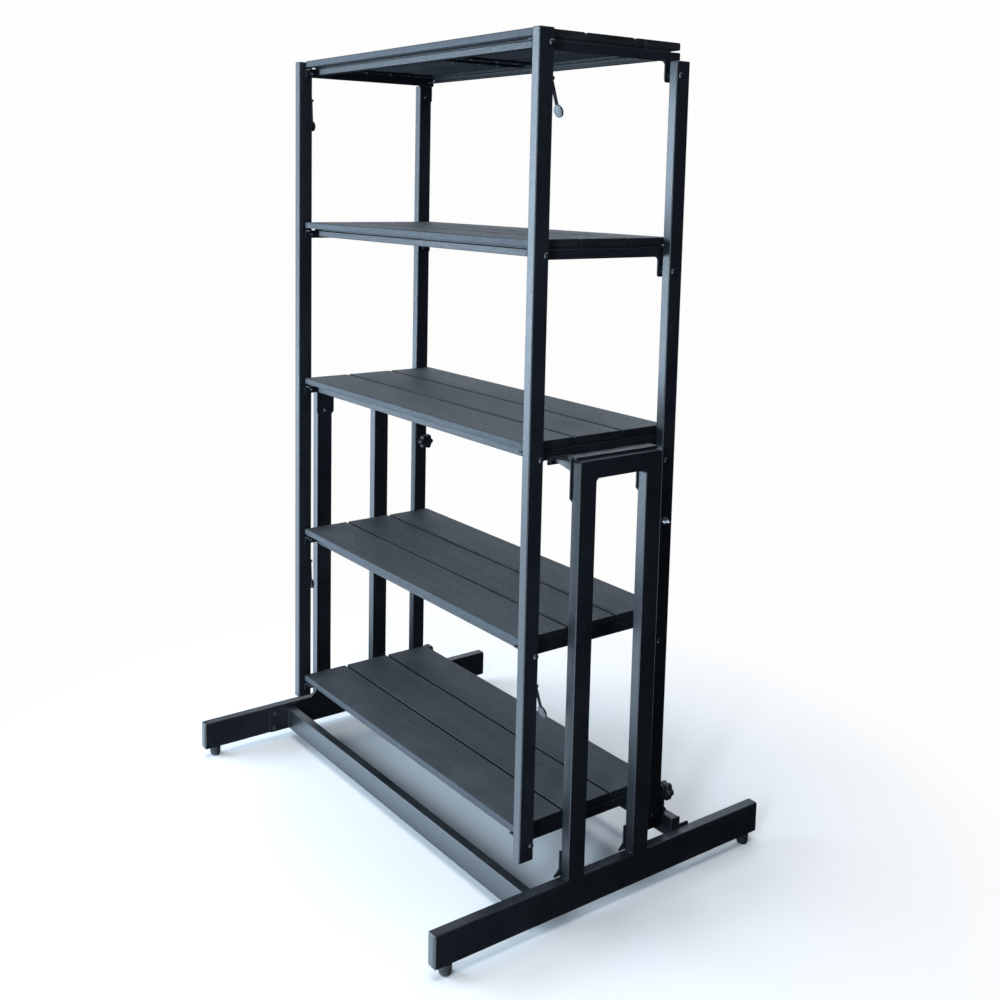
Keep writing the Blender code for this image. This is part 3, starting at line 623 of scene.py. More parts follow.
class Finishes:
    """Every finish of the rack, built once."""

    STEEL = Finish(
        "black_powder_coat", Slot.STEEL, (0.0066, 0.0080, 0.0108), (0.0120, 0.0145, 0.0190),
        roughness=0.35, roughness_spread=0.10, coarse_scale=330.0, bump=0.55, dust=0.12,
    )
    # A less reflective copy of the black coat, for the shelf frames: its lower specular paints the shade they
    # lie in under the boards.
    FRAME = Finish(
        "satin_powder_coat", Slot.STEEL, (0.0066, 0.0080, 0.0108), (0.0120, 0.0145, 0.0190),
        roughness=0.40, roughness_spread=0.12, specular=0.30, coarse_scale=300.0, bump=0.60, dust=0.12,
    )
    BOARD = BoardFinish(
        "charcoal_board", Slot.BOARD, (0.016, 0.0215, 0.028), (0.026, 0.033, 0.041), roughness=0.58,
        roughness_spread=0.08, specular=0.35, coarse_scale=140.0, bump=0.45, dust=0.22, scuff=0.25,
    )
    ZINC = Finish(
        "bright_zinc", Slot.ZINC, (0.46, 0.47, 0.49), (0.66, 0.67, 0.68), roughness=0.26, metallic=1.0,
        bump=0.12, dust=0.15, scuff=0.2,
    )
    DARK_ZINC = Finish(
        "dark_plated_steel", Slot.ZINC, (0.045, 0.048, 0.055), (0.085, 0.088, 0.095), roughness=0.30,
        metallic=0.85, bump=0.15, dust=0.10, scuff=0.3,
    )
    SPRING = Finish(
        "blackened_spring_steel", Slot.STEEL, (0.0060, 0.0068, 0.0080), (0.0110, 0.0120, 0.0140),
        roughness=0.62, specular=0.06, bump=0.20, dust=0.05,
    )
    PLASTIC = Finish(
        "moulded_plastic", Slot.PLASTIC, (0.010, 0.011, 0.012), (0.017, 0.018, 0.020), roughness=0.38,
        bump=0.20, coarse_scale=420.0, fine_scale=2200.0, dust=0.12,
    )
    RUBBER = Finish(
        "foot_rubber", Slot.RUBBER, (0.012, 0.012, 0.013), (0.021, 0.021, 0.022), roughness=0.72,
        roughness_spread=0.06, bump=0.35, coarse_scale=500.0, dust=0.30,
    )

    def __init__(self) -> None:
        """Build the shared groups and every material."""
        effects = EffectLibrary()
        every = (
            self.STEEL, self.FRAME, self.BOARD, self.ZINC, self.DARK_ZINC, self.SPRING, self.PLASTIC,
            self.RUBBER,
        )
        self.materials = {finish.name: finish.build(effects) for finish in every}

    def material(self, finish: Finish) -> bpy.types.Material:
        """The built material of a finish."""
        return self.materials[finish.name]


# ---- Repeated pieces ----
class GrownPieces:
    """Geometry Nodes trees for what repeats: fasteners at points, and weld beads along lines."""

    def __init__(self) -> None:
        """Build both trees."""
        self.repeat, self.repeat_inputs = self._repeat_tree()
        self.weld, self.weld_inputs = self._weld_tree()

    @staticmethod
    def _start(name: str, inputs: Sequence[tuple[str, str]]) -> tuple[Wiring, bpy.types.Node, dict[str, str]]:
        """Start a tree.

        Args:
            name: The tree's name.
            inputs: Names and socket types of its inputs after the geometry.

        Returns:
            The wiring, the input node, and the identifier of each input by name.
        """
        tree = bpy.data.node_groups.new(name, "GeometryNodeTree")
        tree.interface.new_socket(name="Geometry", in_out="INPUT", socket_type="NodeSocketGeometry")
        identifiers = {
            key: tree.interface.new_socket(name=key, in_out="INPUT", socket_type=kind).identifier
            for key, kind in inputs
        }
        tree.interface.new_socket(name="Geometry", in_out="OUTPUT", socket_type="NodeSocketGeometry")
        wiring = Wiring(tree)
        return wiring, wiring.add("NodeGroupInput"), identifiers

    @staticmethod
    def _end(wiring: Wiring, instances: bpy.types.NodeSocket, finish: bpy.types.NodeSocket) -> None:
        """Realize the copies, set their material and put them out."""
        real = wiring.add("GeometryNodeRealizeInstances", None, Geometry=instances)
        dressed = wiring.add("GeometryNodeSetMaterial", None, Geometry=real.outputs[0], Material=finish)
        wiring.add("NodeGroupOutput", None, Geometry=dressed.outputs[0])

    def _repeat_tree(self) -> tuple[bpy.types.NodeTree, dict[str, str]]:
        """A pattern piece at each point, pointing along an axis, each turned by its own angle."""
        wiring, given, identifiers = self._start("repeated_fastener", (
            ("Pattern", "NodeSocketObject"), ("Axis", "NodeSocketVector"), ("Turn", "NodeSocketFloat"),
            ("Seed", "NodeSocketInt"), ("Finish", "NodeSocketMaterial"),
        ))
        pattern = wiring.add("GeometryNodeObjectInfo", None, Object=given.outputs["Pattern"])
        aim = wiring.add("FunctionNodeAlignRotationToVector", {"axis": "X"}, Vector=given.outputs["Axis"])
        angle = wiring.add("FunctionNodeRandomValue", {"data_type": "FLOAT"})
        wiring.feed(angle, 2, 0.0)
        wiring.feed(angle, 3, given.outputs["Turn"])
        wiring.feed(angle, "Seed", given.outputs["Seed"])
        spin = wiring.add("ShaderNodeCombineXYZ", None, X=angle.outputs[1])
        copies = wiring.add(
            "GeometryNodeInstanceOnPoints", None, Points=given.outputs["Geometry"],
            Instance=pattern.outputs["Geometry"], Rotation=aim.outputs[0],
        )
        turned = wiring.add(
            "GeometryNodeRotateInstances", None, Instances=copies.outputs[0], Rotation=spin.outputs[0]
        )
        self._end(wiring, turned.outputs[0], given.outputs["Finish"])
        return wiring.tree, identifiers

    def _weld_tree(self) -> tuple[bpy.types.NodeTree, dict[str, str]]:
        """Overlapping beads along the lines of a mesh, a little uneven."""
        wiring, given, identifiers = self._start("weld_bead", (
            ("Bead Size", "NodeSocketFloat"), ("Spacing", "NodeSocketFloat"), ("Seed", "NodeSocketInt"),
            ("Finish", "NodeSocketMaterial"),
        ))
        line = wiring.add("GeometryNodeMeshToCurve", None, Mesh=given.outputs["Geometry"])
        even = wiring.add("GeometryNodeResampleCurve", {"mode": "LENGTH"}, Curve=line.outputs[0])
        wiring.feed(even, "Length", given.outputs["Spacing"])
        radius = given.outputs["Bead Size"]
        bead = wiring.add("GeometryNodeMeshIcoSphere", None, Radius=radius, Subdivisions=2)
        size = wiring.add("FunctionNodeRandomValue", {"data_type": "FLOAT"})
        wiring.feed(size, 2, 0.78)
        wiring.feed(size, 3, 1.12)
        wiring.feed(size, "Seed", given.outputs["Seed"])
        copies = wiring.add(
            "GeometryNodeInstanceOnPoints", None, Points=even.outputs[0], Instance=bead.outputs[0],
            Scale=size.outputs[1],
        )
        smooth = wiring.add("GeometryNodeSetShadeSmooth", None, Geometry=copies.outputs[0])
        self._end(wiring, smooth.outputs[0], given.outputs["Finish"])
        return wiring.tree, identifiers

    @staticmethod
    def _grow(
        name: str, seed_mesh: bpy.types.Mesh, tree: bpy.types.NodeTree, values: dict[str, object]
    ) -> bpy.types.Mesh:
        """Run a tree on a seed mesh.

        Args:
            name: Name of the new mesh.
            seed_mesh: Points or lines to grow on.
            tree: The tree.
            values: Modifier values by socket identifier.

        Returns:
            The grown mesh; the seed and its modifier are gone.
        """
        host = bpy.data.objects.new(f"{name}_seed", seed_mesh)
        modifier = host.modifiers.new("grow", "NODES")
        modifier.node_group = tree
        for identifier, value in values.items():
            modifier[identifier] = value
        bpy.context.scene.collection.objects.link(host)
        graph = bpy.context.evaluated_depsgraph_get()
        mesh = bpy.data.meshes.new_from_object(host.evaluated_get(graph), depsgraph=graph)
        mesh.name = name
        bpy.data.objects.remove(host, do_unlink=True)
        return mesh

    def fasteners(
        self, name: str, pattern: Shape, points: Sequence[Point3], axis: Point3, material: bpy.types.Material,
        seed: int = 1,
    ) -> bpy.types.Mesh:
        """Copies of a fastener, modelled along +X, at points, pointing along an axis."""
        pattern_name = f"{name}_pattern"
        model = bpy.data.objects.new(pattern_name, Bench.evened(pattern.mesh(pattern_name), 35.0))
        seeds = bpy.data.meshes.new(f"{name}_points")
        seeds.from_pydata([tuple(point) for point in points], [], [])
        ids = self.repeat_inputs
        values = {ids["Pattern"]: model, ids["Axis"]: axis, ids["Turn"]: math.tau, ids["Seed"]: seed,
                  ids["Finish"]: material}
        mesh = self._grow(name, seeds, self.repeat, values)
        bpy.data.objects.remove(model, do_unlink=True)
        return mesh

    def welds(
        self, name: str, lines: Sequence[Line3], material: bpy.types.Material, size: float, seed: int = 3
    ) -> bpy.types.Mesh:
        """Weld beads along straight lines."""
        seeds = bpy.data.meshes.new(f"{name}_lines")
        points = [tuple(point) for line in lines for point in line]
        seeds.from_pydata(points, [(i, i + 1) for i in range(0, len(points), 2)], [])
        ids = self.weld_inputs
        values = {ids["Bead Size"]: size, ids["Spacing"]: size * 1.15, ids["Seed"]: seed,
                  ids["Finish"]: material}
        return self._grow(name, seeds, self.weld, values)


class Bench:
    """Turns shapes into finished pieces that ride on the frame's bodies."""

    def __init__(self) -> None:
        """Prepare the finishes and the growing trees."""
        self.finishes = Finishes()
        self.grown = GrownPieces()

    @staticmethod
    def evened(mesh: bpy.types.Mesh, sharp_angle: float) -> bpy.types.Mesh:
        """Shade a mesh smooth, keeping its flats flat.

        Args:
            mesh: The mesh; it is used up.
            sharp_angle: Edges over this angle in degrees stay sharp.

        Returns:
            A new mesh with weighted normals.
        """
        mesh.shade_smooth()
        mesh.set_sharp_from_angle(angle=math.radians(sharp_angle))
        host = bpy.data.objects.new("evened", mesh)
        even = host.modifiers.new("even", "WEIGHTED_NORMAL")
        even.keep_sharp = True
        even.weight = 80
        bpy.context.scene.collection.objects.link(host)
        graph = bpy.context.evaluated_depsgraph_get()
        finished = bpy.data.meshes.new_from_object(host.evaluated_get(graph), depsgraph=graph)
        finished.name = mesh.name
        bpy.data.objects.remove(host, do_unlink=True)
        return finished

    def _place(
        self, name: str, mesh: bpy.types.Mesh, finish: Finish, body: str, stands_for: Sequence[str]
    ) -> bpy.types.Object:
        """Link a finished mesh as a piece of a body."""
        piece = bpy.data.objects.new(name, mesh)
        bpy.context.scene.collection.objects.link(piece)
        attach(piece, body)
        if stands_for:
            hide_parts(*stands_for)
        LOG.info("%s: %d faces, %s, on %s", name, len(mesh.polygons), finish.name, body)
        return piece

    def fit(
        self, name: str, shape: Shape, finish: Finish, body: str, stands_for: Sequence[str] = (),
        sharp_angle: float = 40.0,
    ) -> bpy.types.Object:
        """Make a piece from a shape.

        Args:
            name: The piece's name.
            shape: Its shape, in place.
            finish: Its finish.
            body: The body it rides on.
            stands_for: The frame's nodes that it replaces.
            sharp_angle: Edges over this angle in degrees stay sharp.

        Returns:
            The piece.
        """
        mesh = self.evened(shape.mesh(name), sharp_angle)
        mesh.materials.clear()
        mesh.materials.append(self.finishes.material(finish))
        return self._place(name, mesh, finish, body, stands_for)

    def fit_fasteners(
        self, name: str, pattern: Shape, points: Sequence[Point3], axis: Point3, finish: Finish, body: str
    ) -> bpy.types.Object:
        """Make one piece of repeated fasteners."""
        mesh = self.grown.fasteners(name, pattern, points, axis, self.finishes.material(finish))
        return self._place(name, mesh, finish, body, ())

    def fit_welds(self, name: str, lines: Sequence[Line3], body: str, size: float) -> bpy.types.Object:
        """Make one piece of coated weld beads."""
        steel = Finishes.STEEL
        mesh = self.grown.welds(name, lines, self.finishes.material(steel), size)
        return self._place(name, mesh, steel, body, ())


# ---- Fasteners, modelled along +X from a seat at X = 0 ----
@dataclass(frozen=True)
class Fastener:
    """A hexagon or domed fastener head with an optional washer and threaded tip."""

    radius: float
    height: float
    domed: bool = False
    washer_radius: float = 0.0
    washer_height: float = 0.0012
    tip_radius: float = 0.0
    tip_length: float = 0.0

    def shape(self) -> Shape:
        """The whole fastener."""
        seat = self.washer_height if self.washer_radius else 0.0
        whole = self._dome(seat) if self.domed else self._hexagon(seat)
        if self.washer_radius:
            r, h = self.washer_radius, self.washer_height
            profile = [(0, 0), (0, r - 0.0002), (0.0002, r), (h - 0.0002, r), (h, r - 0.0002), (h, 0)]
            whole.add(Shape.turned(profile, 28))
        if self.tip_radius:
            whole.add(self._thread(seat + self.height - 0.0005))
        return whole

    def _dome(self, seat: float) -> Shape:
        """A low mushroom head with a round recess."""
        r, h = self.radius, self.height
        recess = r * 0.38
        angles = [math.radians(degrees) for degrees in (0, 18, 36, 52, 64)]
        rise = [(seat + h * math.sin(angle), r * math.cos(angle)) for angle in angles]
        profile = [
            (seat, 0), (seat, r * 0.97), *rise, (seat + h * 0.93, recess * 1.12), (seat + h * 0.55, recess),
            (seat + h * 0.50, 0),
        ]
        return Shape.turned(profile, 24)

    def _hexagon(self, seat: float) -> Shape:
        """A chamfered hexagon."""
        r, h = self.radius, self.height
        rings = []
        for along, share in ((0.0, 0.94), (0.12 * h, 1.0), (0.86 * h, 1.0), (h, 0.90)):
            rings.append([(seat + along, *p) for p in ring_points(r * share, 6)])
        return Shape.stack(rings)

    def _thread(self, start: float) -> Shape:
        """A threaded tip."""
        profile: list[Point2] = [(start, 0)]
        pitch, r = 0.0010, self.tip_radius
        for i in range(int(self.tip_length / pitch)):
            profile += [(start + i * pitch, r * 0.86), (start + (i + 0.5) * pitch, r)]
        end = start + self.tip_length
        profile += [(end, r * 0.8), (end + 0.0006, r * 0.55), (end + 0.0006, 0)]
        return Shape.turned(profile, 18)


# ---- Shelves ----
@dataclass
class Deck:
    """The three boards of each shelf."""

    rack: Rack
    length: float = 1.000
    gap: float = 0.007
    thickness: float = 0.017
    edge_radius: float = 0.003

    @property
    def width(self) -> float:
        """Width of one board."""
        return (self.rack.shelf_depth - 2 * self.gap) / 3

    def board(self, row: Row, top: float) -> Shape:
        """One board with eased edges and shallow end chamfers."""
        middle = row.value * (self.width + self.gap)
        y = (middle - self.width / 2, middle + self.width / 2)
        outline = rounded(rectangle(y, (top - self.thickness, top)), self.edge_radius, 4)
        board = Shape.prism(outline, "x", -self.length / 2, self.length / 2).soften(0.0007, 2, 60.0)
        # Mark how deep each point lies inside a joint between boards; the board finish paints shade there.
        recess = board.bm.verts.layers.float.new("recess")
        for vertex in board.bm.verts:
            inner = [edge for edge in y if abs(edge) < self.rack.shelf_depth / 2 - self.edge_radius]
            close = any(abs(vertex.co.y - edge) < self.edge_radius * 0.7 for edge in inner)
            depth = (top - vertex.co.z) / self.edge_radius
            vertex[recess] = min(max(1.6 * depth - 0.4, 0.0), 1.0) if close else 0.0
        return board

    def build(self, bench: Bench) -> None:
        """Fit every board."""
        for number, top in self.rack.tiers():
            for row in Row:
                name = f"tier_{number}_board_{row.name.lower()}"
                body = self.rack.body_of_tier(number)
                bench.fit(f"deck_{name}", self.board(row, top), Finishes.BOARD, body, [name])


@dataclass
class ShelfFrame:
    """The welded steel frame under each shelf, with its rivets and screws."""

    rack: Rack
    angle_width: float = 0.025
    angle_height: float = 0.022
    rail_height: float = 0.0165
    rail_depth: float = 0.020
    rail_wall: float = 0.0018
    rail_setback: float = 0.022
    rail_half_length: float = 0.462
    bearer_half_length: float = 0.178
    bearer_top: float = 0.0173
    end_bearer: Point2 = (0.447, 0.499)
    middle_bearer: Point2 = (0.028, 0.050)
    packing_y: Point2 = (-0.1820, -0.1720)
    packing_half_length: float = 0.4985
    plate_y: Point2 = (0.164, 0.205)
    plate_bottom: float = 0.090
    plate_weld_drop: float = 0.0440
    boss_radius: float = 0.0100
    screw_x: float = 0.4605
    screw_offset: float = 0.040
    screw_reach: float = 0.165

    def rail(self, top: float) -> Shape:
        """Front long rail, a folded channel, with the packing strip on it."""
        front = -self.rack.shelf_depth / 2 + self.rail_setback
        back = front + self.rail_depth
        high = top - self.rack.frame_drop
        low = high - self.rail_height
        wall = self.rail_wall
        outline = [
            (back, high), (front, high), (front, low), (back, low), (back, low + wall),
            (front + wall, low + wall), (front + wall, high - wall), (back, high - wall),
        ]
        radii = [0, 0.0024, 0.0024, 0, 0, 0.0008, 0.0008, 0]
        rail = Shape.prism(rounded(outline, radii, 4), "x", -self.rail_half_length, self.rail_half_length)
        packing_x = (-self.packing_half_length, self.packing_half_length)
        packing_z = (high - 0.0008, top - self.bearer_top - self.rack.clearance)
        packing = Shape.box(packing_x, self.packing_y, packing_z)
        return rail.add(packing.soften(0.0006, 2))

    def end_angle(self, top: float) -> Shape:
        """Right end angle with a folded outer corner."""
        outer = self.rack.end_face_x
        steel = self.rack.steel
        high = top - self.rack.frame_drop
        outline = [
            (outer - self.angle_width, high), (outer, high), (outer, high - self.angle_height),
            (outer - steel, high - self.angle_height), (outer - steel, high - steel),
            (outer - self.angle_width, high - steel),
        ]
        half = self.rack.shelf_depth / 2
        shape = Shape.prism(rounded(outline, [0, 0.0018, 0.0006, 0.0006, 0.0012, 0], 3), "y", -half, half)
        return shape.soften(0.0005, 1, 70.0)

    def drop_plate(self, top: float) -> Shape:
        """Plate that carries the back pivot."""
        low, high = self.plate_y
        outline = [
            (low - 0.006, top - 0.030), (high, top - 0.030), (high, top - self.plate_bottom),
            (low, top - self.plate_bottom), (low, top - 0.0505), (low - 0.006, top - 0.0425),
        ]
        shape = Shape.prism(
            rounded(outline, [0, 0, 0.006, 0.006, 0.002, 0], 4), "x",
            self.rack.end_face_x - self.rack.steel - 0.0002, self.rack.end_face_x + 0.0002,
        )
        return shape.soften(0.0005, 1, 70.0)

    def boss(self, y: float, z: float) -> Shape:
        """Spacer between the frame and the post, with eased ends and a weld fillet at its foot."""
        start, end = self.rack.end_face_x - 0.0012, self.rack.post_inner_x - self.rack.clearance
        r = self.boss_radius
        profile = [(start, 0), (start, r + 0.0010), (start + 0.0014, r + 0.0006), (start + 0.0024, r),
                   (end - 0.0006, r), (end, r - 0.0006), (end, 0)]
        return Shape.turned(profile, 28).move(y=y, z=z)

    def side(self, top: float) -> Shape:
        """Everything of the frame's right end."""
        rack = self.rack
        bearer_z = (top - rack.frame_drop - 0.0005, top - self.bearer_top)
        bearer_y = (-self.bearer_half_length, self.bearer_half_length)
        shape = self.end_angle(top).add(self.drop_plate(top))
        for span in (self.end_bearer, self.middle_bearer):
            shape.add(Shape.box(span, bearer_y, bearer_z).soften(0.0006, 2))
        shape.add(self.boss(rack.front_pivot_y, top - rack.front_pivot_drop))
        shape.add(self.boss(rack.back_pivot_y, top - rack.back_pivot_drop))
        return shape

    def weld_lines(self, top: float) -> list[Line3]:
        """Lines of the welds at both ends of the frame."""
        rack = self.rack
        under = top - rack.frame_drop - rack.steel
        inner = rack.end_face_x - rack.steel
        lines: list[Line3] = []
        for sign in (-1, 1):
            x = sign * (inner - 0.0002)
            z = top - self.plate_weld_drop
            lines.append(((x, self.plate_y[0] - 0.004, z), (x, self.plate_y[1] - 0.003, z)))
            for y in (-rack.shelf_depth / 2 + self.rail_setback, rack.shelf_depth / 2 - self.rail_setback):
                depth = y - math.copysign(self.rail_depth, y)
                rail_x = sign * (self.rail_half_length + 0.0002)
                lines.append(((rail_x, y, under + 0.0024), (rail_x, depth, under + 0.0024)))
        return lines

    def rivet(self) -> Shape:
        """Back pivot rivet along X: a domed head outside the post and an upset one inside."""
        rack = self.rack
        outer, inner = rack.post_outer_x + 0.0004, rack.end_face_x - rack.steel
        profile = [
            (inner - 0.0052, 0), (inner - 0.0052, 0.0036), (inner - 0.0040, 0.0054),
            (inner - 0.0014, 0.0062), (inner + 0.0003, 0.0062), (inner + 0.0003, 0.0040),
            (outer, 0.0040), (outer, 0.0068), (outer + 0.0008, 0.0070), (outer + 0.0022, 0.0062),
            (outer + 0.0034, 0.0044), (outer + 0.0040, 0.0020), (outer + 0.0041, 0),
        ]
        return Shape.turned(profile, 28)

    def screw_points(self, top: float) -> list[Point3]:
        """Places of the deck screws under the bearers."""
        z = top - self.rack.frame_drop - 0.0005
        pitch = (self.rack.shelf_depth + 0.003) / 3
        shifts = (-self.screw_offset, self.screw_offset)
        rows = [row.value * pitch + shift for row in Row for shift in shifts]
        kept = [y for y in rows if abs(y) < self.screw_reach]
        places = (self.screw_x, sum(self.middle_bearer) / 2)
        return [(sign * x, y, z) for x in places for sign in (-1, 1) for y in kept]

    def build(self, bench: Bench) -> None:
        """Fit each shelf's frame, its welds, its screws and its rivets."""
        rack = self.rack
        screw = Fastener(0.0042, 0.0024, domed=True)
        for number, top in rack.tiers():
            body = rack.body_of_tier(number)
            whole = self.side(top).both_ends()
            rail = self.rail(top)
            whole.add(rail, rail.flipped("y"))
            bench.fit(f"steel_tier_{number}_frame", whole, Finishes.FRAME, body, [f"tier_{number}_frame"])
            bench.fit_welds(f"tier_{number}_welds", self.weld_lines(top), body, 0.0016)
            bench.fit_fasteners(
                f"tier_{number}_deck_screws", screw.shape(), self.screw_points(top), (0, 0, -1),
                Finishes.DARK_ZINC, body,
            )
            rivet = self.rivet().move(y=rack.back_pivot_y, z=top - rack.back_pivot_drop).both_ends()
            bench.fit(f"tier_{number}_rivets", rivet, Finishes.DARK_ZINC, body)


# ---- Posts ----
@dataclass
class Posts:
    """The tilting posts with their plugs, pivot bolts and stud nuts."""

    rack: Rack
    front_z: Point2 = (0.1425, 1.9570)
    back_z: Point2 = (0.1000, 1.9155)
    plug_height: float = 0.0025

    def plug(self, y: float, z: float, upward: bool) -> Shape:
        """Plastic plug at a post's end, with a crowned face."""
        half_x, half_y = self.rack.post_width / 2, self.rack.post_depth / 2
        stages = (
            (-0.006, 0.0017), (0.0001, 0.0017), (0.0001, 0.0002), (0.0013, 0.0004), (0.0021, 0.0018),
            (self.plug_height, 0.0050),
        )
        rings = []
        for rise, inset in stages:
            x = (self.rack.post_x - half_x + inset, self.rack.post_x + half_x - inset)
            span = (y - half_y + inset, y + half_y - inset)
            along = z + (rise if upward else -rise)
            outline = rounded(rectangle(x, span), max(0.0028 - inset, 0.0012), 4)
            rings.append([(a, b, along) for a, b in outline])
        return Shape.stack(rings)

    def pivot_bolt(self) -> Shape:
        """Front pivot bolt along X: a low dome outside the post, a nut and a tip inside the frame."""
        rack = self.rack
        head = Fastener(0.0070, 0.0042, domed=True).shape().move(x=rack.post_outer_x + rack.clearance)
        nut = Fastener(0.0066, 0.0054, tip_radius=0.0036, tip_length=0.0035).shape()
        nut.turn(180, "Z").move(x=rack.end_face_x - rack.steel - rack.clearance)
        shank = Shape.rod("x", (0, 0), 0.0040, rack.end_face_x - 0.005, rack.post_outer_x + 0.001, 24)
        return head.add(nut, shank)

    def build(self, bench: Bench) -> None:
        """Fit the posts, plugs, bolts and nuts."""
        rack = self.rack
        places = (("front", rack.front_post_y, self.front_z), ("back", rack.back_post_y, self.back_z))
        for place, y, span in places:
            body = f"{place}_posts"
            plugs = self.plug(y, span[1], True).add(self.plug(y, span[0], False)).both_ends()
            bench.fit(f"{place}_post_plugs", plugs, Finishes.PLASTIC, body)
            for side in Side:
                node = f"{place}_post_{side.word}"
                bench.fit(f"steel_{node}", Shape.from_node(node), Finishes.STEEL, body, [node], 50.0)
        for side in Side:
            for number, top in rack.tiers():
                bolt = self.pivot_bolt().move(y=rack.front_pivot_y, z=top - rack.front_pivot_drop)
                node = f"pivot_bolt_{number}_{side.word}"
                bench.fit(f"plated_{node}", bolt.for_side(side), Finishes.DARK_ZINC, "front_posts", [node])
        nut = Fastener(0.0078, 0.0050, washer_radius=0.0095)
        for side in Side:
            seat = [(side.value * (rack.post_outer_x + 0.0001), *rack.upper_knob)]
            bench.fit_fasteners(
                f"stud_nut_{side.word}", self._ring(nut), seat, (side.value, 0, 0), Finishes.ZINC,
                "back_posts",
            )

    @staticmethod
    def _ring(nut: Fastener) -> Shape:
        """A nut with its washer, open in the middle for the stud."""
        count, bore = 24, 0.0046
        top = nut.height + nut.washer_height
        washer, hole = ring_points(nut.washer_radius, count), ring_points(bore, count)
        flats, eased = Posts._hexagon_as(count, nut.radius), Posts._hexagon_as(count, nut.radius * 0.92)
        stages = (
            (0, washer), (nut.washer_height, washer), (nut.washer_height, flats), (top - 0.0006, flats),
            (top, eased), (top, hole), (0, hole),
        )
        return Shape.stack([[(along, *p) for p in outline] for along, outline in stages], closed=True)

    @staticmethod
    def _hexagon_as(count: int, radius: float) -> list[Point2]:
        """Points along a hexagon's outline, as many as a ring's."""
        points: list[Point2] = []
        flat = radius * math.cos(math.pi / 6)
        for i in range(count):
            angle = math.tau * (i + 0.5) / count
            near = (angle % (math.pi / 3)) - math.pi / 6
            reach = flat / math.cos(near)
            points.append((reach * math.cos(angle), reach * math.sin(angle)))
        return points


# ---- Base ----
@dataclass
class FootBars:
    """The two foot bars with their plugs and rubber feet."""

    rack: Rack
    pad_y: float = 0.4546

    def end_cap(self) -> Shape:
        """Front plug of the right foot bar: a rim over the tube's end and a pillowed face."""
        rack = self.rack
        face = -rack.foot_half_length - rack.clearance
        stages = (
            (-0.0120, 0.0023, 0.0018), (0.0001, 0.0023, 0.0018), (0.0001, 0.0001, 0.0030),
            (0.0016, -0.0001, 0.0034), (0.0030, 0.0004, 0.0040), (0.0044, 0.0018, 0.0044),
            (0.0055, 0.0040, 0.0044), (0.0062, 0.0065, 0.0040), (0.0064, 0.0095, 0.0030),
        )
        rings = []
        for outward, inset, radius in stages:
            x = (rack.foot_inner_x + inset, rack.foot_inner_x + rack.foot_width - inset)
            z = (rack.foot_bottom + inset, rack.foot_top - inset)
            rings.append([(a, face - outward, b) for a, b in rounded(rectangle(x, z), radius, 5)])
        return Shape.stack(rings)

    def pad(self) -> Shape:
        """Rubber foot with a collar, a groove and a rounded tread."""
        top = self.rack.foot_bottom - 0.0002
        profile = [
            (0, 0), (0, 0.0096), (0.0006, 0.0112), (0.0020, 0.0124), (0.0045, 0.0134), (0.0085, 0.0143),
            (0.0130, 0.0146), (0.0136, 0.0139), (0.0148, 0.0139), (0.0154, 0.0147), (0.0200, 0.0149),
            (top - 0.0008, 0.0149), (top, 0.0142), (top, 0),
        ]
        return Shape.turned(profile, 40).turn(-90, "Y")

    def build(self, bench: Bench) -> None:
        """Fit the bars, plugs and feet."""
        x = self.rack.foot_inner_x + self.rack.foot_width / 2
        for side in Side:
            node = f"foot_bar_{side.word}"
            bench.fit(f"steel_{node}", Shape.from_node(node), Finishes.STEEL, "base", [node], 50.0)
            for end, sign in (("front", 1), ("back", -1)):
                cap = self.end_cap().for_side(side)
                cap = cap if sign == 1 else cap.flipped("y")
                cap_name = f"{end}_end_cap_{side.word}"
                bench.fit(f"moulded_{cap_name}", cap, Finishes.PLASTIC, "base", [cap_name])
                pad = self.pad().move(x=side.value * x, y=-sign * self.pad_y)
                pad_name = f"{end}_pad_{side.word}"
                bench.fit(f"moulded_{pad_name}", pad, Finishes.RUBBER, "base", [pad_name])


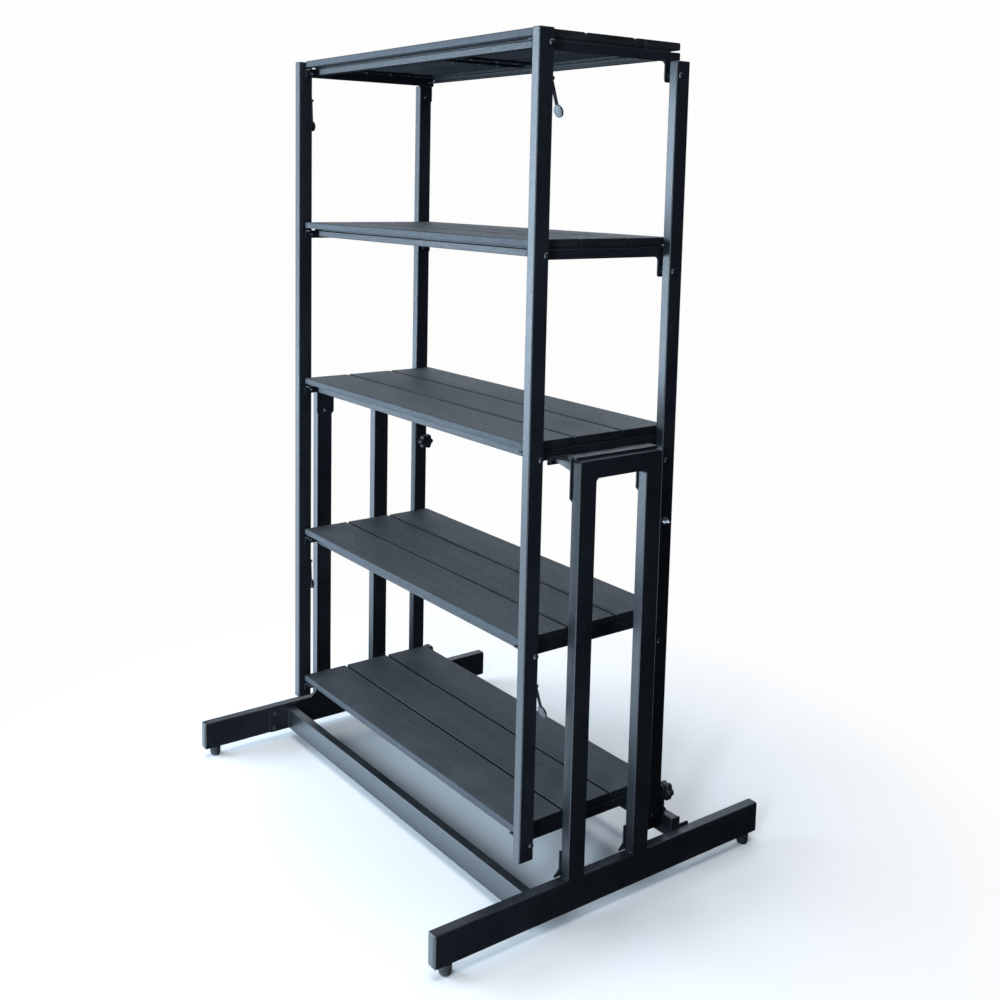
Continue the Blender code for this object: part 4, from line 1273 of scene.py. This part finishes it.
@dataclass
class Uprights:
    """The inverted U on each foot bar, with its gussets and the carrier that holds the fixed shelf."""

    rack: Rack
    legs: tuple[Point2, Point2] = ((-0.1333, -0.0858), (0.0614, 0.1089))
    top: float = 1.0535
    saddle_x: Point2 = (0.5510, 0.5790)
    saddle_thickness: float = 0.006
    plate_bottom: float = 0.958
    arm_z: Point2 = (1.0400, 1.0460)
    flange_y: Point2 = (-0.150, 0.160)
    flange_z: Point2 = (1.0300, 1.0565)
    flange_bolt_y: tuple[float, ...] = (-0.142, -0.010, 0.152)
    flange_bolt_z: float = 1.0405
    plate_bolt_z: float = 0.9727

    def carrier(self) -> Shape:
        """Right carrier: saddle bar, flange on the shelf, and a plate, arm and rib at each leg."""
        rack = self.rack
        saddle_z = (self.top + rack.clearance, self.top + rack.clearance + self.saddle_thickness)
        flange_x = (rack.end_face_x + 0.0005, rack.end_face_x + 0.0005 + rack.steel)
        plate_x = (rack.foot_inner_x - rack.clearance - rack.steel, rack.foot_inner_x - rack.clearance)
        saddle_outline = rounded(rectangle(self.saddle_x, (self.legs[0][0], self.legs[1][1])), 0.002, 3)
        shape = Shape.prism(saddle_outline, "z", *saddle_z).soften(0.0006, 2, 60.0)
        flange = rounded(rectangle(self.flange_y, self.flange_z), 0.003, 3)
        shape.add(Shape.prism(flange, "x", *flange_x).soften(0.0005, 2, 60.0))
        for leg in self.legs:
            low, high = leg[0] - 0.004, leg[1] + 0.004
            bottom, top, cut = self.plate_bottom, saddle_z[0] + 0.002, 0.009
            outline = [
                (low, bottom + cut), (low + cut, bottom), (high - cut, bottom), (high, bottom + cut),
                (high, top), (low, top),
            ]
            plate = Shape.prism(rounded(outline, [0.003] * 4 + [0, 0], 3), "x", *plate_x)
            shape.add(plate.soften(0.0005, 2, 60.0))
            arm_x = (flange_x[0] + 0.001, plate_x[0] + 0.001)
            shape.add(Shape.box(arm_x, (low + 0.001, high - 0.001), self.arm_z).soften(0.0006, 2))
            rib = [
                (flange_x[0] + 0.0015, self.arm_z[0] + 0.001), (plate_x[0] + 0.0015, self.arm_z[0] - 0.012),
                (plate_x[0] + 0.0015, self.arm_z[1] + 0.003), (flange_x[0] + 0.0015, self.arm_z[1] - 0.001),
            ]
            shape.add(Shape.prism(rib, "y", low + 0.002, low + 0.005).soften(0.0004, 1, 60.0))
        return shape

    def weld_lines(self, side: Side) -> list[Line3]:
        """Welds where the legs stand on the foot bar and where the carrier is joined."""
        rack = self.rack
        s = side.value
        low_x = s * (rack.foot_inner_x + 0.003)
        high_x = s * (rack.foot_inner_x + rack.foot_width - 0.004)
        z = rack.foot_top + 0.0008
        arm_z = self.arm_z[1] + 0.0004
        lines: list[Line3] = []
        for leg in self.legs:
            lines.append(((low_x, leg[0], z), (high_x, leg[0], z)))
            lines.append(((low_x, leg[1], z), (high_x, leg[1], z)))
            inner = s * (rack.foot_inner_x - 0.0040)
            lines.append(((inner, leg[0], arm_z), (inner, leg[1], arm_z)))
            flange = s * (rack.end_face_x + 0.0042)
            lines.append(((flange, leg[0], arm_z), (flange, leg[1], arm_z)))
        return lines

    def build(self, bench: Bench) -> None:
        """Fit the uprights, carriers, welds and bolts."""
        rack = self.rack
        flange_bolt = Fastener(0.0062, 0.0038, washer_radius=0.0080)
        plate_bolt = Fastener(0.0070, 0.0042, domed=True, washer_radius=0.0082)
        for side in Side:
            word, s = side.word, side.value
            node = f"upright_{word}"
            bench.fit(f"steel_{node}", Shape.from_node(node), Finishes.STEEL, "base", [node], 50.0)
            bench.fit(f"steel_carrier_{word}", self.carrier().for_side(side), Finishes.STEEL, "base",
                      [f"carrier_{word}"])
            bench.fit_welds(f"upright_welds_{word}", self.weld_lines(side), "base", 0.0019)
            flange_x = s * (rack.end_face_x + 0.0005 + rack.steel)
            bench.fit_fasteners(
                f"carrier_flange_bolts_{word}", flange_bolt.shape(),
                [(flange_x, y, self.flange_bolt_z) for y in self.flange_bolt_y], (s, 0, 0),
                Finishes.DARK_ZINC, "base",
            )
            plate_x = s * (rack.foot_inner_x - rack.clearance - rack.steel)
            bench.fit_fasteners(
                f"carrier_leg_bolts_{word}", plate_bolt.shape(),
                [(plate_x, sum(leg) / 2, self.plate_bolt_z) for leg in self.legs], (-s, 0, 0),
                Finishes.DARK_ZINC, "base",
            )


@dataclass
class CrossBars:
    """The two bars that join the foot bars, with their flanges and lock tabs."""

    rack: Rack
    front_y: Point2 = (-0.2288, -0.2038)
    front_z: Point2 = (0.0263, 0.0865)
    front_flange_y: Point2 = (-0.2900, -0.2010)
    front_flange_z: Point2 = (0.0268, 0.0965)
    back_y: Point2 = (0.2180, 0.2430)
    back_z: Point2 = (0.0750, 0.1255)
    back_flange_y: Point2 = (0.2160, 0.2720)
    back_flange_z: Point2 = (0.0450, 0.1080)
    front_bolt_y: float = -0.2720
    front_bolt_z: Point2 = (0.0835, 0.0390)
    back_bolt_y: float = 0.2580
    back_bolt_z: Point2 = (0.0940, 0.0590)
    tab_top: float = 0.196
    tab_half_width: float = 0.015
    tab_corner: float = 0.008
    tab_hole: float = 0.0052

    def bar(self, y: Point2, z: Point2, flange_y: Point2, flange_z: Point2) -> Shape:
        """A bar with rounded corners and a plate at each end."""
        face = self.rack.foot_inner_x - self.rack.clearance
        steel = self.rack.steel
        bar = Shape.prism(rounded(rectangle(y, z), 0.003, 5), "x", -face + 0.001, face - 0.001)
        plate = Shape.prism(rounded(rectangle(flange_y, flange_z), 0.005, 4), "x", face - steel, face)
        return bar.add(plate.soften(0.0006, 2, 60.0).both_ends())

    def tab(self) -> Shape:
        """Right lock tab with a hole for the stud, and its rib."""
        x, knob_z = self.rack.post_x, self.rack.lower_knob[1]
        y = (self.back_y[0] - 0.0015, self.back_y[0] + 0.0020)
        count = 32
        outer = self._frame_points(x, count)
        inner = [(x + a, knob_z + b) for a, b in ring_points(self.tab_hole, count, 0.0)]
        stages = ((outer, y[0]), (outer, y[1]), (inner, y[1]), (inner, y[0]))
        rings = [[(p[0], along, p[1]) for p in outline] for outline, along in stages]
        tab = Shape.stack(rings, closed=True).soften(0.0005, 1, 60.0)
        rib = [
            (y[0] + 0.001, self.back_z[1] - 0.001), (self.back_y[1] - 0.003, self.back_z[1] - 0.001),
            (self.back_y[1] - 0.003, self.back_z[1] + 0.003), (y[1] + 0.001, knob_z - 0.026),
            (y[0] + 0.001, knob_z - 0.026),
        ]
        return tab.add(Shape.prism(rib, "x", x - 0.0015, x + 0.0015).soften(0.0004, 1, 60.0))

    def _frame_points(self, x: float, count: int) -> list[Point2]:
        """Points on the tab's outline, seen from the knob's axis at even angles."""
        low, high, knob_z = self.back_z[0] + 0.020, self.tab_top, self.rack.lower_knob[1]
        corner, half = self.tab_corner, self.tab_half_width
        points: list[Point2] = []
        for i in range(count):
            angle = math.tau * i / count
            a, b = math.cos(angle), math.sin(angle)
            reach_z = (high - knob_z) if b > 0 else (knob_z - low)
            reach = min(half / max(abs(a), 1e-9), reach_z / max(abs(b), 1e-9))
            u, v = reach * a, reach * b
            over_u, over_v = abs(u) - (half - corner), v - (reach_z - corner)
            if b > 0 and over_u > 0 and over_v > 0:
                length = math.hypot(over_u, over_v)
                u = math.copysign(half - corner + over_u * corner / length, a)
                v = reach_z - corner + over_v * corner / length
            points.append((x + u, knob_z + v))
        return points

    def weld_lines(self, y: Point2, z: Point2) -> list[Line3]:
        """Welds round both ends of a bar."""
        lines: list[Line3] = []
        for sign in (-1, 1):
            x = sign * (self.rack.foot_inner_x - self.rack.steel - 0.0006)
            lines.append(((x, y[0], z[0] + 0.004), (x, y[0], z[1] - 0.002)))
            lines.append(((x, y[1], z[0] + 0.004), (x, y[1], z[1] - 0.002)))
            lines.append(((x, y[0] + 0.002, z[1]), (x, y[1] - 0.002, z[1])))
        return lines

    def build(self, bench: Bench) -> None:
        """Fit both bars, their welds and their bolts."""
        front = self.bar(self.front_y, self.front_z, self.front_flange_y, self.front_flange_z)
        bench.fit("steel_front_cross_bar", front, Finishes.STEEL, "base", ["front_cross_bar"])
        back = self.bar(self.back_y, self.back_z, self.back_flange_y, self.back_flange_z)
        back.add(self.tab().both_ends())
        bench.fit("steel_back_cross_bar", back, Finishes.STEEL, "base", ["back_cross_bar"])
        bench.fit_welds("front_bar_welds", self.weld_lines(self.front_y, self.front_z), "base", 0.0018)
        bench.fit_welds("back_bar_welds", self.weld_lines(self.back_y, self.back_z), "base", 0.0018)
        bolt = Fastener(0.0068, 0.0040, washer_radius=0.0088)
        x = self.rack.foot_inner_x - self.rack.clearance - self.rack.steel
        rows = ((self.front_bolt_y, self.front_bolt_z), (self.back_bolt_y, self.back_bolt_z))
        for side in Side:
            s = side.value
            points = [(s * x, y, z) for y, heights in rows for z in heights]
            bench.fit_fasteners(
                f"cross_bar_bolts_{side.word}", bolt.shape(), points, (-s, 0, 0), Finishes.DARK_ZINC, "base"
            )


# ---- Hand controls ----
@dataclass
class LockKnobs:
    """The four lobed lock knobs with their studs."""

    rack: Rack
    radius: float = 0.0230
    lobes: int = 6
    lobe_depth: float = 0.0045
    head_length: float = 0.019
    stud_radius: float = 0.0040
    stud_pitch: float = 0.00125
    upper_hub: float = 0.018
    upper_stud_end_x: float = 0.549
    lower_hub: float = 0.007
    lower_stud: float = 0.0093

    def head(self, hub_length: float) -> Shape:
        """Lobed head with a rounded rim, a dished cap and a waisted hub, its hub face at X = 0."""
        back, front = -hub_length, -hub_length - self.head_length
        stages = (
            (back + 0.0004, 0.50, 0.0), (back, 0.72, 0.4), (back - 0.0010, 0.90, 0.9),
            (back - 0.0030, 0.98, 1.0), (back - 0.0060, 1.00, 1.0), (front + 0.0055, 1.00, 1.0),
            (front + 0.0028, 0.975, 1.0), (front + 0.0010, 0.91, 0.9), (front + 0.0001, 0.80, 0.7),
            (front, 0.66, 0.4), (front + 0.0009, 0.56, 0.2), (front + 0.0013, 0.30, 0.0),
        )
        rings = []
        count = self.lobes * 12
        for along, share, lobed in stages:
            ring = []
            for i in range(count):
                angle = math.tau * i / count
                dip = self.lobe_depth * lobed * (0.5 - 0.5 * math.cos(self.lobes * angle)) ** 1.5
                reach = self.radius * share - dip
                ring.append((along, reach * math.cos(angle), reach * math.sin(angle)))
            rings.append(ring)
        head = Shape.stack(rings)
        waist = [
            (back - 0.001, 0), (back - 0.001, 0.0120), (back + 0.0025, 0.0102), (-0.0022, 0.0092),
            (-0.0018, 0.0096), (-0.0004, 0.0096), (0, 0.0092), (0, 0),
        ]
        return head.add(Shape.turned(waist, 36))

    def stud(self, length: float) -> Shape:
        """Threaded stud with a turned point."""
        r, pitch = self.stud_radius, self.stud_pitch
        profile: list[Point2] = [(-0.002, 0), (-0.002, r * 0.9)]
        start = 0.0
        while start + pitch < length - 0.004:
            profile += [(start + 0.0001, r * 0.86), (start + pitch / 2, r)]
            start += pitch
        profile += [
            (length - 0.0035, r * 0.86), (length - 0.0030, r * 0.80), (length - 0.0008, r * 0.78),
            (length, r * 0.5), (length, 0),
        ]
        return Shape.turned(profile, 24)

    def build(self, bench: Bench) -> None:
        """Fit the four knobs, each with its stud."""
        rack = self.rack
        face = rack.post_inner_x - 0.0005
        for side in Side:
            word = side.word
            for level in ("upper", "lower"):
                body = f"{level}_knob_{word}"
                if level == "upper":
                    head, stud = self.head(self.upper_hub), self.stud(self.upper_stud_end_x - face)
                    for part in (head, stud):
                        part.move(face, *rack.upper_knob)
                else:
                    head, stud = self.head(self.lower_hub), self.stud(self.lower_stud)
                    for part in (head, stud):
                        part.turn(-90, "Z").move(rack.post_x, *rack.lower_knob)
                bench.fit(f"moulded_{body}", head.for_side(side), Finishes.PLASTIC, body, [body], 55.0)
                bench.fit(f"{body}_stud", stud.for_side(side), Finishes.ZINC, body)


@dataclass
class Catches:
    """The four sprung catches behind the front posts."""

    rack: Rack
    below_pivot: float = 0.0715
    pin_behind_post: float = 0.0038
    reach: float = 0.070
    disc_radius: float = 0.0140
    width: float = 0.0106
    opened: dict[Side, float] = field(default_factory=lambda: {Side.LEFT: 2.0, Side.RIGHT: 17.0})

    def strap(self) -> Shape:
        """Strap with rounded edges, a raised rib and a curl round the pin."""
        half = self.width / 2
        blade = Shape.box((-half, half), (-0.0008, 0.0007), (-self.reach, -0.0023)).soften(0.0005, 2)
        rib = Shape.box((-0.0014, 0.0014), (0.0004, 0.0014), (-self.reach + 0.014, -0.010)).soften(0.0006, 2)
        rings = []
        for radius, x in ((0.0030, -half), (0.0030, half), (0.0019, half), (0.0019, -half)):
            rings.append([(x, a, b) for a, b in ring_points(radius, 24)])
        return blade.add(rib, Shape.stack(rings, closed=True))

    def disc(self) -> Shape:
        """Round thumb disc, dished on its back face."""
        r = self.disc_radius
        profile = [
            (-0.0011, 0), (-0.0011, r - 0.0010), (-0.0006, r - 0.0002), (0.0004, r), (0.0024, r),
            (0.0033, r - 0.0008), (0.0035, r - 0.0018), (0.0029, r - 0.0034), (0.0024, r * 0.45),
            (0.0023, 0),
        ]
        return Shape.turned(profile, 44).turn(90, "Z").move(z=-self.reach)

    def build(self, bench: Bench) -> None:
        """Fit each catch on its own body."""
        rack = self.rack
        pin_y = rack.front_post_y + rack.post_depth / 2 + self.pin_behind_post
        for side in Side:
            for level in Level:
                name = f"{level.name.lower()}_catch_{side.word}"
                z = rack.tier_tops[level.value - 1] - rack.front_pivot_drop - self.below_pivot
                for part, shape, finish in (
                    ("strap", self.strap(), Finishes.SPRING), ("disc", self.disc(), Finishes.STEEL)
                ):
                    shape.turn(self.opened[side], "X").move(side.value * rack.post_x, pin_y, z)
                    bench.fit(f"{name}_{part}", shape, finish, name, [name] if part == "strap" else ())


# ---- Studio ----
@dataclass(frozen=True)
class SoftLight:
    """A soft rectangular light."""

    name: str
    place: Point3
    aim: Point3
    size: Point2
    power: float
    colour: Colour

    def build(self) -> None:
        """Hang the light."""
        data = bpy.data.lights.new(self.name, "AREA")
        data.shape = "RECTANGLE"
        data.size, data.size_y = self.size
        data.energy = self.power
        data.color = self.colour
        lamp = bpy.data.objects.new(self.name, data)
        lamp.location = self.place
        lamp.rotation_euler = (Vector(self.aim) - Vector(self.place)).to_track_quat("-Z", "Y").to_euler()
        bpy.context.scene.collection.objects.link(lamp)


@dataclass
class Studio:
    """Pale floor, soft lights, backdrop and camera."""

    camera_place: Point3 = (2.4807, -1.7918, 1.6379)
    yaw: float = 144.436
    pitch: float = -7.021
    roll: float = 1.038
    lens: float = 43.21
    shift: Point2 = (0.0354, -0.169)
    backdrop: Colour = (0.985, 0.985, 0.985)
    cool: Colour = (0.64, 0.82, 1.0)
    floor_colour: Colour = (0.90, 0.885, 0.87)
    floor_level: float = -0.0004
    floor_radius: float = 9.0
    floor_fade: Point2 = (0.7, 1.45)
    floor_sheen: Point2 = (0.02, 4.0)
    sheen_edge: Point2 = (-0.23, -0.30)
    floor_bounce: float = 0.6
    surround: Colour = (0.60, 0.76, 1.0)
    surround_strength: float = 0.09

    def camera(self) -> None:
        """Place the camera."""
        yaw, pitch, roll = (math.radians(value) for value in (self.yaw, self.pitch, self.roll))
        ahead = Vector((math.cos(pitch) * math.cos(yaw), math.cos(pitch) * math.sin(yaw), math.sin(pitch)))
        right = ahead.cross(Vector((0, 0, 1))).normalized()
        up = right.cross(ahead)
        across = right * math.cos(roll) + up * math.sin(roll)
        above = up * math.cos(roll) - right * math.sin(roll)
        data = bpy.data.cameras.new("camera")
        data.sensor_width = 36.0
        data.lens = self.lens
        data.shift_x, data.shift_y = self.shift
        data.clip_start = 0.05
        camera = bpy.data.objects.new("camera", data)
        matrix = Matrix((across, above, -ahead)).transposed().to_4x4()
        matrix.translation = self.camera_place
        camera.matrix_world = matrix
        bpy.context.scene.collection.objects.link(camera)
        bpy.context.scene.camera = camera

    def floor(self) -> None:
        """Pale floor that fades into the backdrop, and glows in what the rack's front reflects."""
        material = bpy.data.materials.new("pale_floor")
        material.use_nodes = True
        wiring = Wiring(material.node_tree)
        shader = material.node_tree.nodes["Principled BSDF"]
        shader.inputs["Base Color"].default_value = rgba(self.floor_colour)
        shader.inputs["Roughness"].default_value = 0.85
        shader.inputs["Specular IOR Level"].default_value = 0.1
        place = wiring.add("ShaderNodeTexCoord").outputs["Object"]
        length = wiring.add("ShaderNodeVectorMath", {"operation": "LENGTH"})
        wiring.feed(length, 0, place)
        far = wiring.remap(length.outputs["Value"], *self.floor_fade)
        rays = wiring.add("ShaderNodeLightPath")
        glow = wiring.add("ShaderNodeEmission", None, Color=rgba(self.backdrop))
        clear = wiring.add("ShaderNodeBsdfTransparent")
        beyond = self._mixed(wiring, rays.outputs["Is Camera Ray"], clear.outputs[0], glow.outputs[0])
        mixed = self._mixed(wiring, far, shader.outputs[0], beyond)
        dim = wiring.add("ShaderNodeBsdfDiffuse", None, Color=(0.05, 0.05, 0.05, 1))
        damped = wiring.maths("MULTIPLY", rays.outputs["Is Diffuse Ray"], self.floor_bounce)
        mixed = self._mixed(wiring, damped, mixed, dim.outputs[0])
        forward = wiring.add("ShaderNodeSeparateXYZ", None, Vector=place).outputs["Y"]
        incoming = wiring.add("ShaderNodeNewGeometry").outputs["Incoming"]
        backward = wiring.add("ShaderNodeSeparateXYZ", None, Vector=incoming).outputs["Y"]
        heading = wiring.remap(backward, 0.0, 0.15)
        near = wiring.remap(forward, *self.sheen_edge)
        dull, bright = self.floor_sheen
        sheen = wiring.maths("MULTIPLY_ADD", wiring.maths("MULTIPLY", near, heading), bright, dull)
        lit = wiring.add("ShaderNodeEmission", None, Color=rgba(self.cool), Strength=sheen)
        whole = self._mixed(wiring, rays.outputs["Is Glossy Ray"], mixed, lit.outputs[0])
        wiring.feed(material.node_tree.nodes["Material Output"], "Surface", whole)
        mesh = bpy.data.meshes.new("floor")
        count = 64
        rim = [(a, b, self.floor_level) for a, b in ring_points(self.floor_radius, count)]
        mesh.from_pydata(rim, [], [tuple(range(count))])
        mesh.materials.append(material)
        floor = bpy.data.objects.new("studio_floor", mesh)
        bpy.context.scene.collection.objects.link(floor)

    @staticmethod
    def _mixed(wiring: Wiring, share: object, first: object, second: object) -> bpy.types.NodeSocket:
        """A mix of two shaders."""
        node = wiring.add("ShaderNodeMixShader")
        for i, value in enumerate((share, first, second)):
            wiring.feed(node, i, value)
        return node.outputs[0]

    def world(self) -> None:
        """Pale backdrop for the camera, and a dim cool surround for everything else."""
        world = bpy.data.worlds.new("studio")
        bpy.context.scene.world = world
        world.use_nodes = True
        wiring = Wiring(world.node_tree)
        ground = world.node_tree.nodes["Background"]
        ground.inputs["Color"].default_value = rgba(self.surround)
        ground.inputs["Strength"].default_value = self.surround_strength
        seen = wiring.add("ShaderNodeBackground", None, Color=rgba(self.backdrop), Strength=1.0)
        rays = wiring.add("ShaderNodeLightPath")
        mixed = self._mixed(wiring, rays.outputs["Is Camera Ray"], ground.outputs[0], seen.outputs[0])
        wiring.feed(world.node_tree.nodes["World Output"], "Surface", mixed)

    def build(self) -> None:
        """Set up the whole studio."""
        self.camera()
        self.world()
        self.floor()
        for soft in (
            SoftLight("window", (-2.9, -3.5, 1.6), (0, 0, 1.0), (3.2, 3.0), 395, self.cool),
            SoftLight("overhead", (0.0, -0.4, 4.6), (0, 0, 0), (4.0, 4.0), 190, (0.96, 0.98, 1.0)),
            SoftLight("camera_strip", (2.6, -3.4, 2.2), (0, 0, 1.0), (0.4, 1.8), 100, self.cool),
            SoftLight("left_wall", (-4.4, 3.3, 2.55), (0, 0, 1.2), (4.0, 1.1), 48, (0.84, 0.93, 1.0)),
            SoftLight("back_fill", (-1.6, 4.2, 4.6), (0, 0, 1.0), (2.4, 2.0), 60, self.cool),
        ):
            soft.build()
        view = bpy.context.scene.view_settings
        view.view_transform = "Standard"
        view.look = "None"
        view.exposure = 0.0
        view.gamma = 1.0


def main() -> None:
    """Build the rack's pieces and the studio round them."""
    logging.basicConfig(level=logging.INFO, format="%(message)s")
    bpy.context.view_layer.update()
    rack = Rack()
    Studio().build()
    bench = Bench()
    for assembly in (
        Deck(rack), ShelfFrame(rack), Posts(rack), FootBars(rack), Uprights(rack), CrossBars(rack),
        LockKnobs(rack), Catches(rack),
    ):
        LOG.info("building %s", type(assembly).__name__)
        assembly.build(bench)


if __name__ == "__main__":
    main()
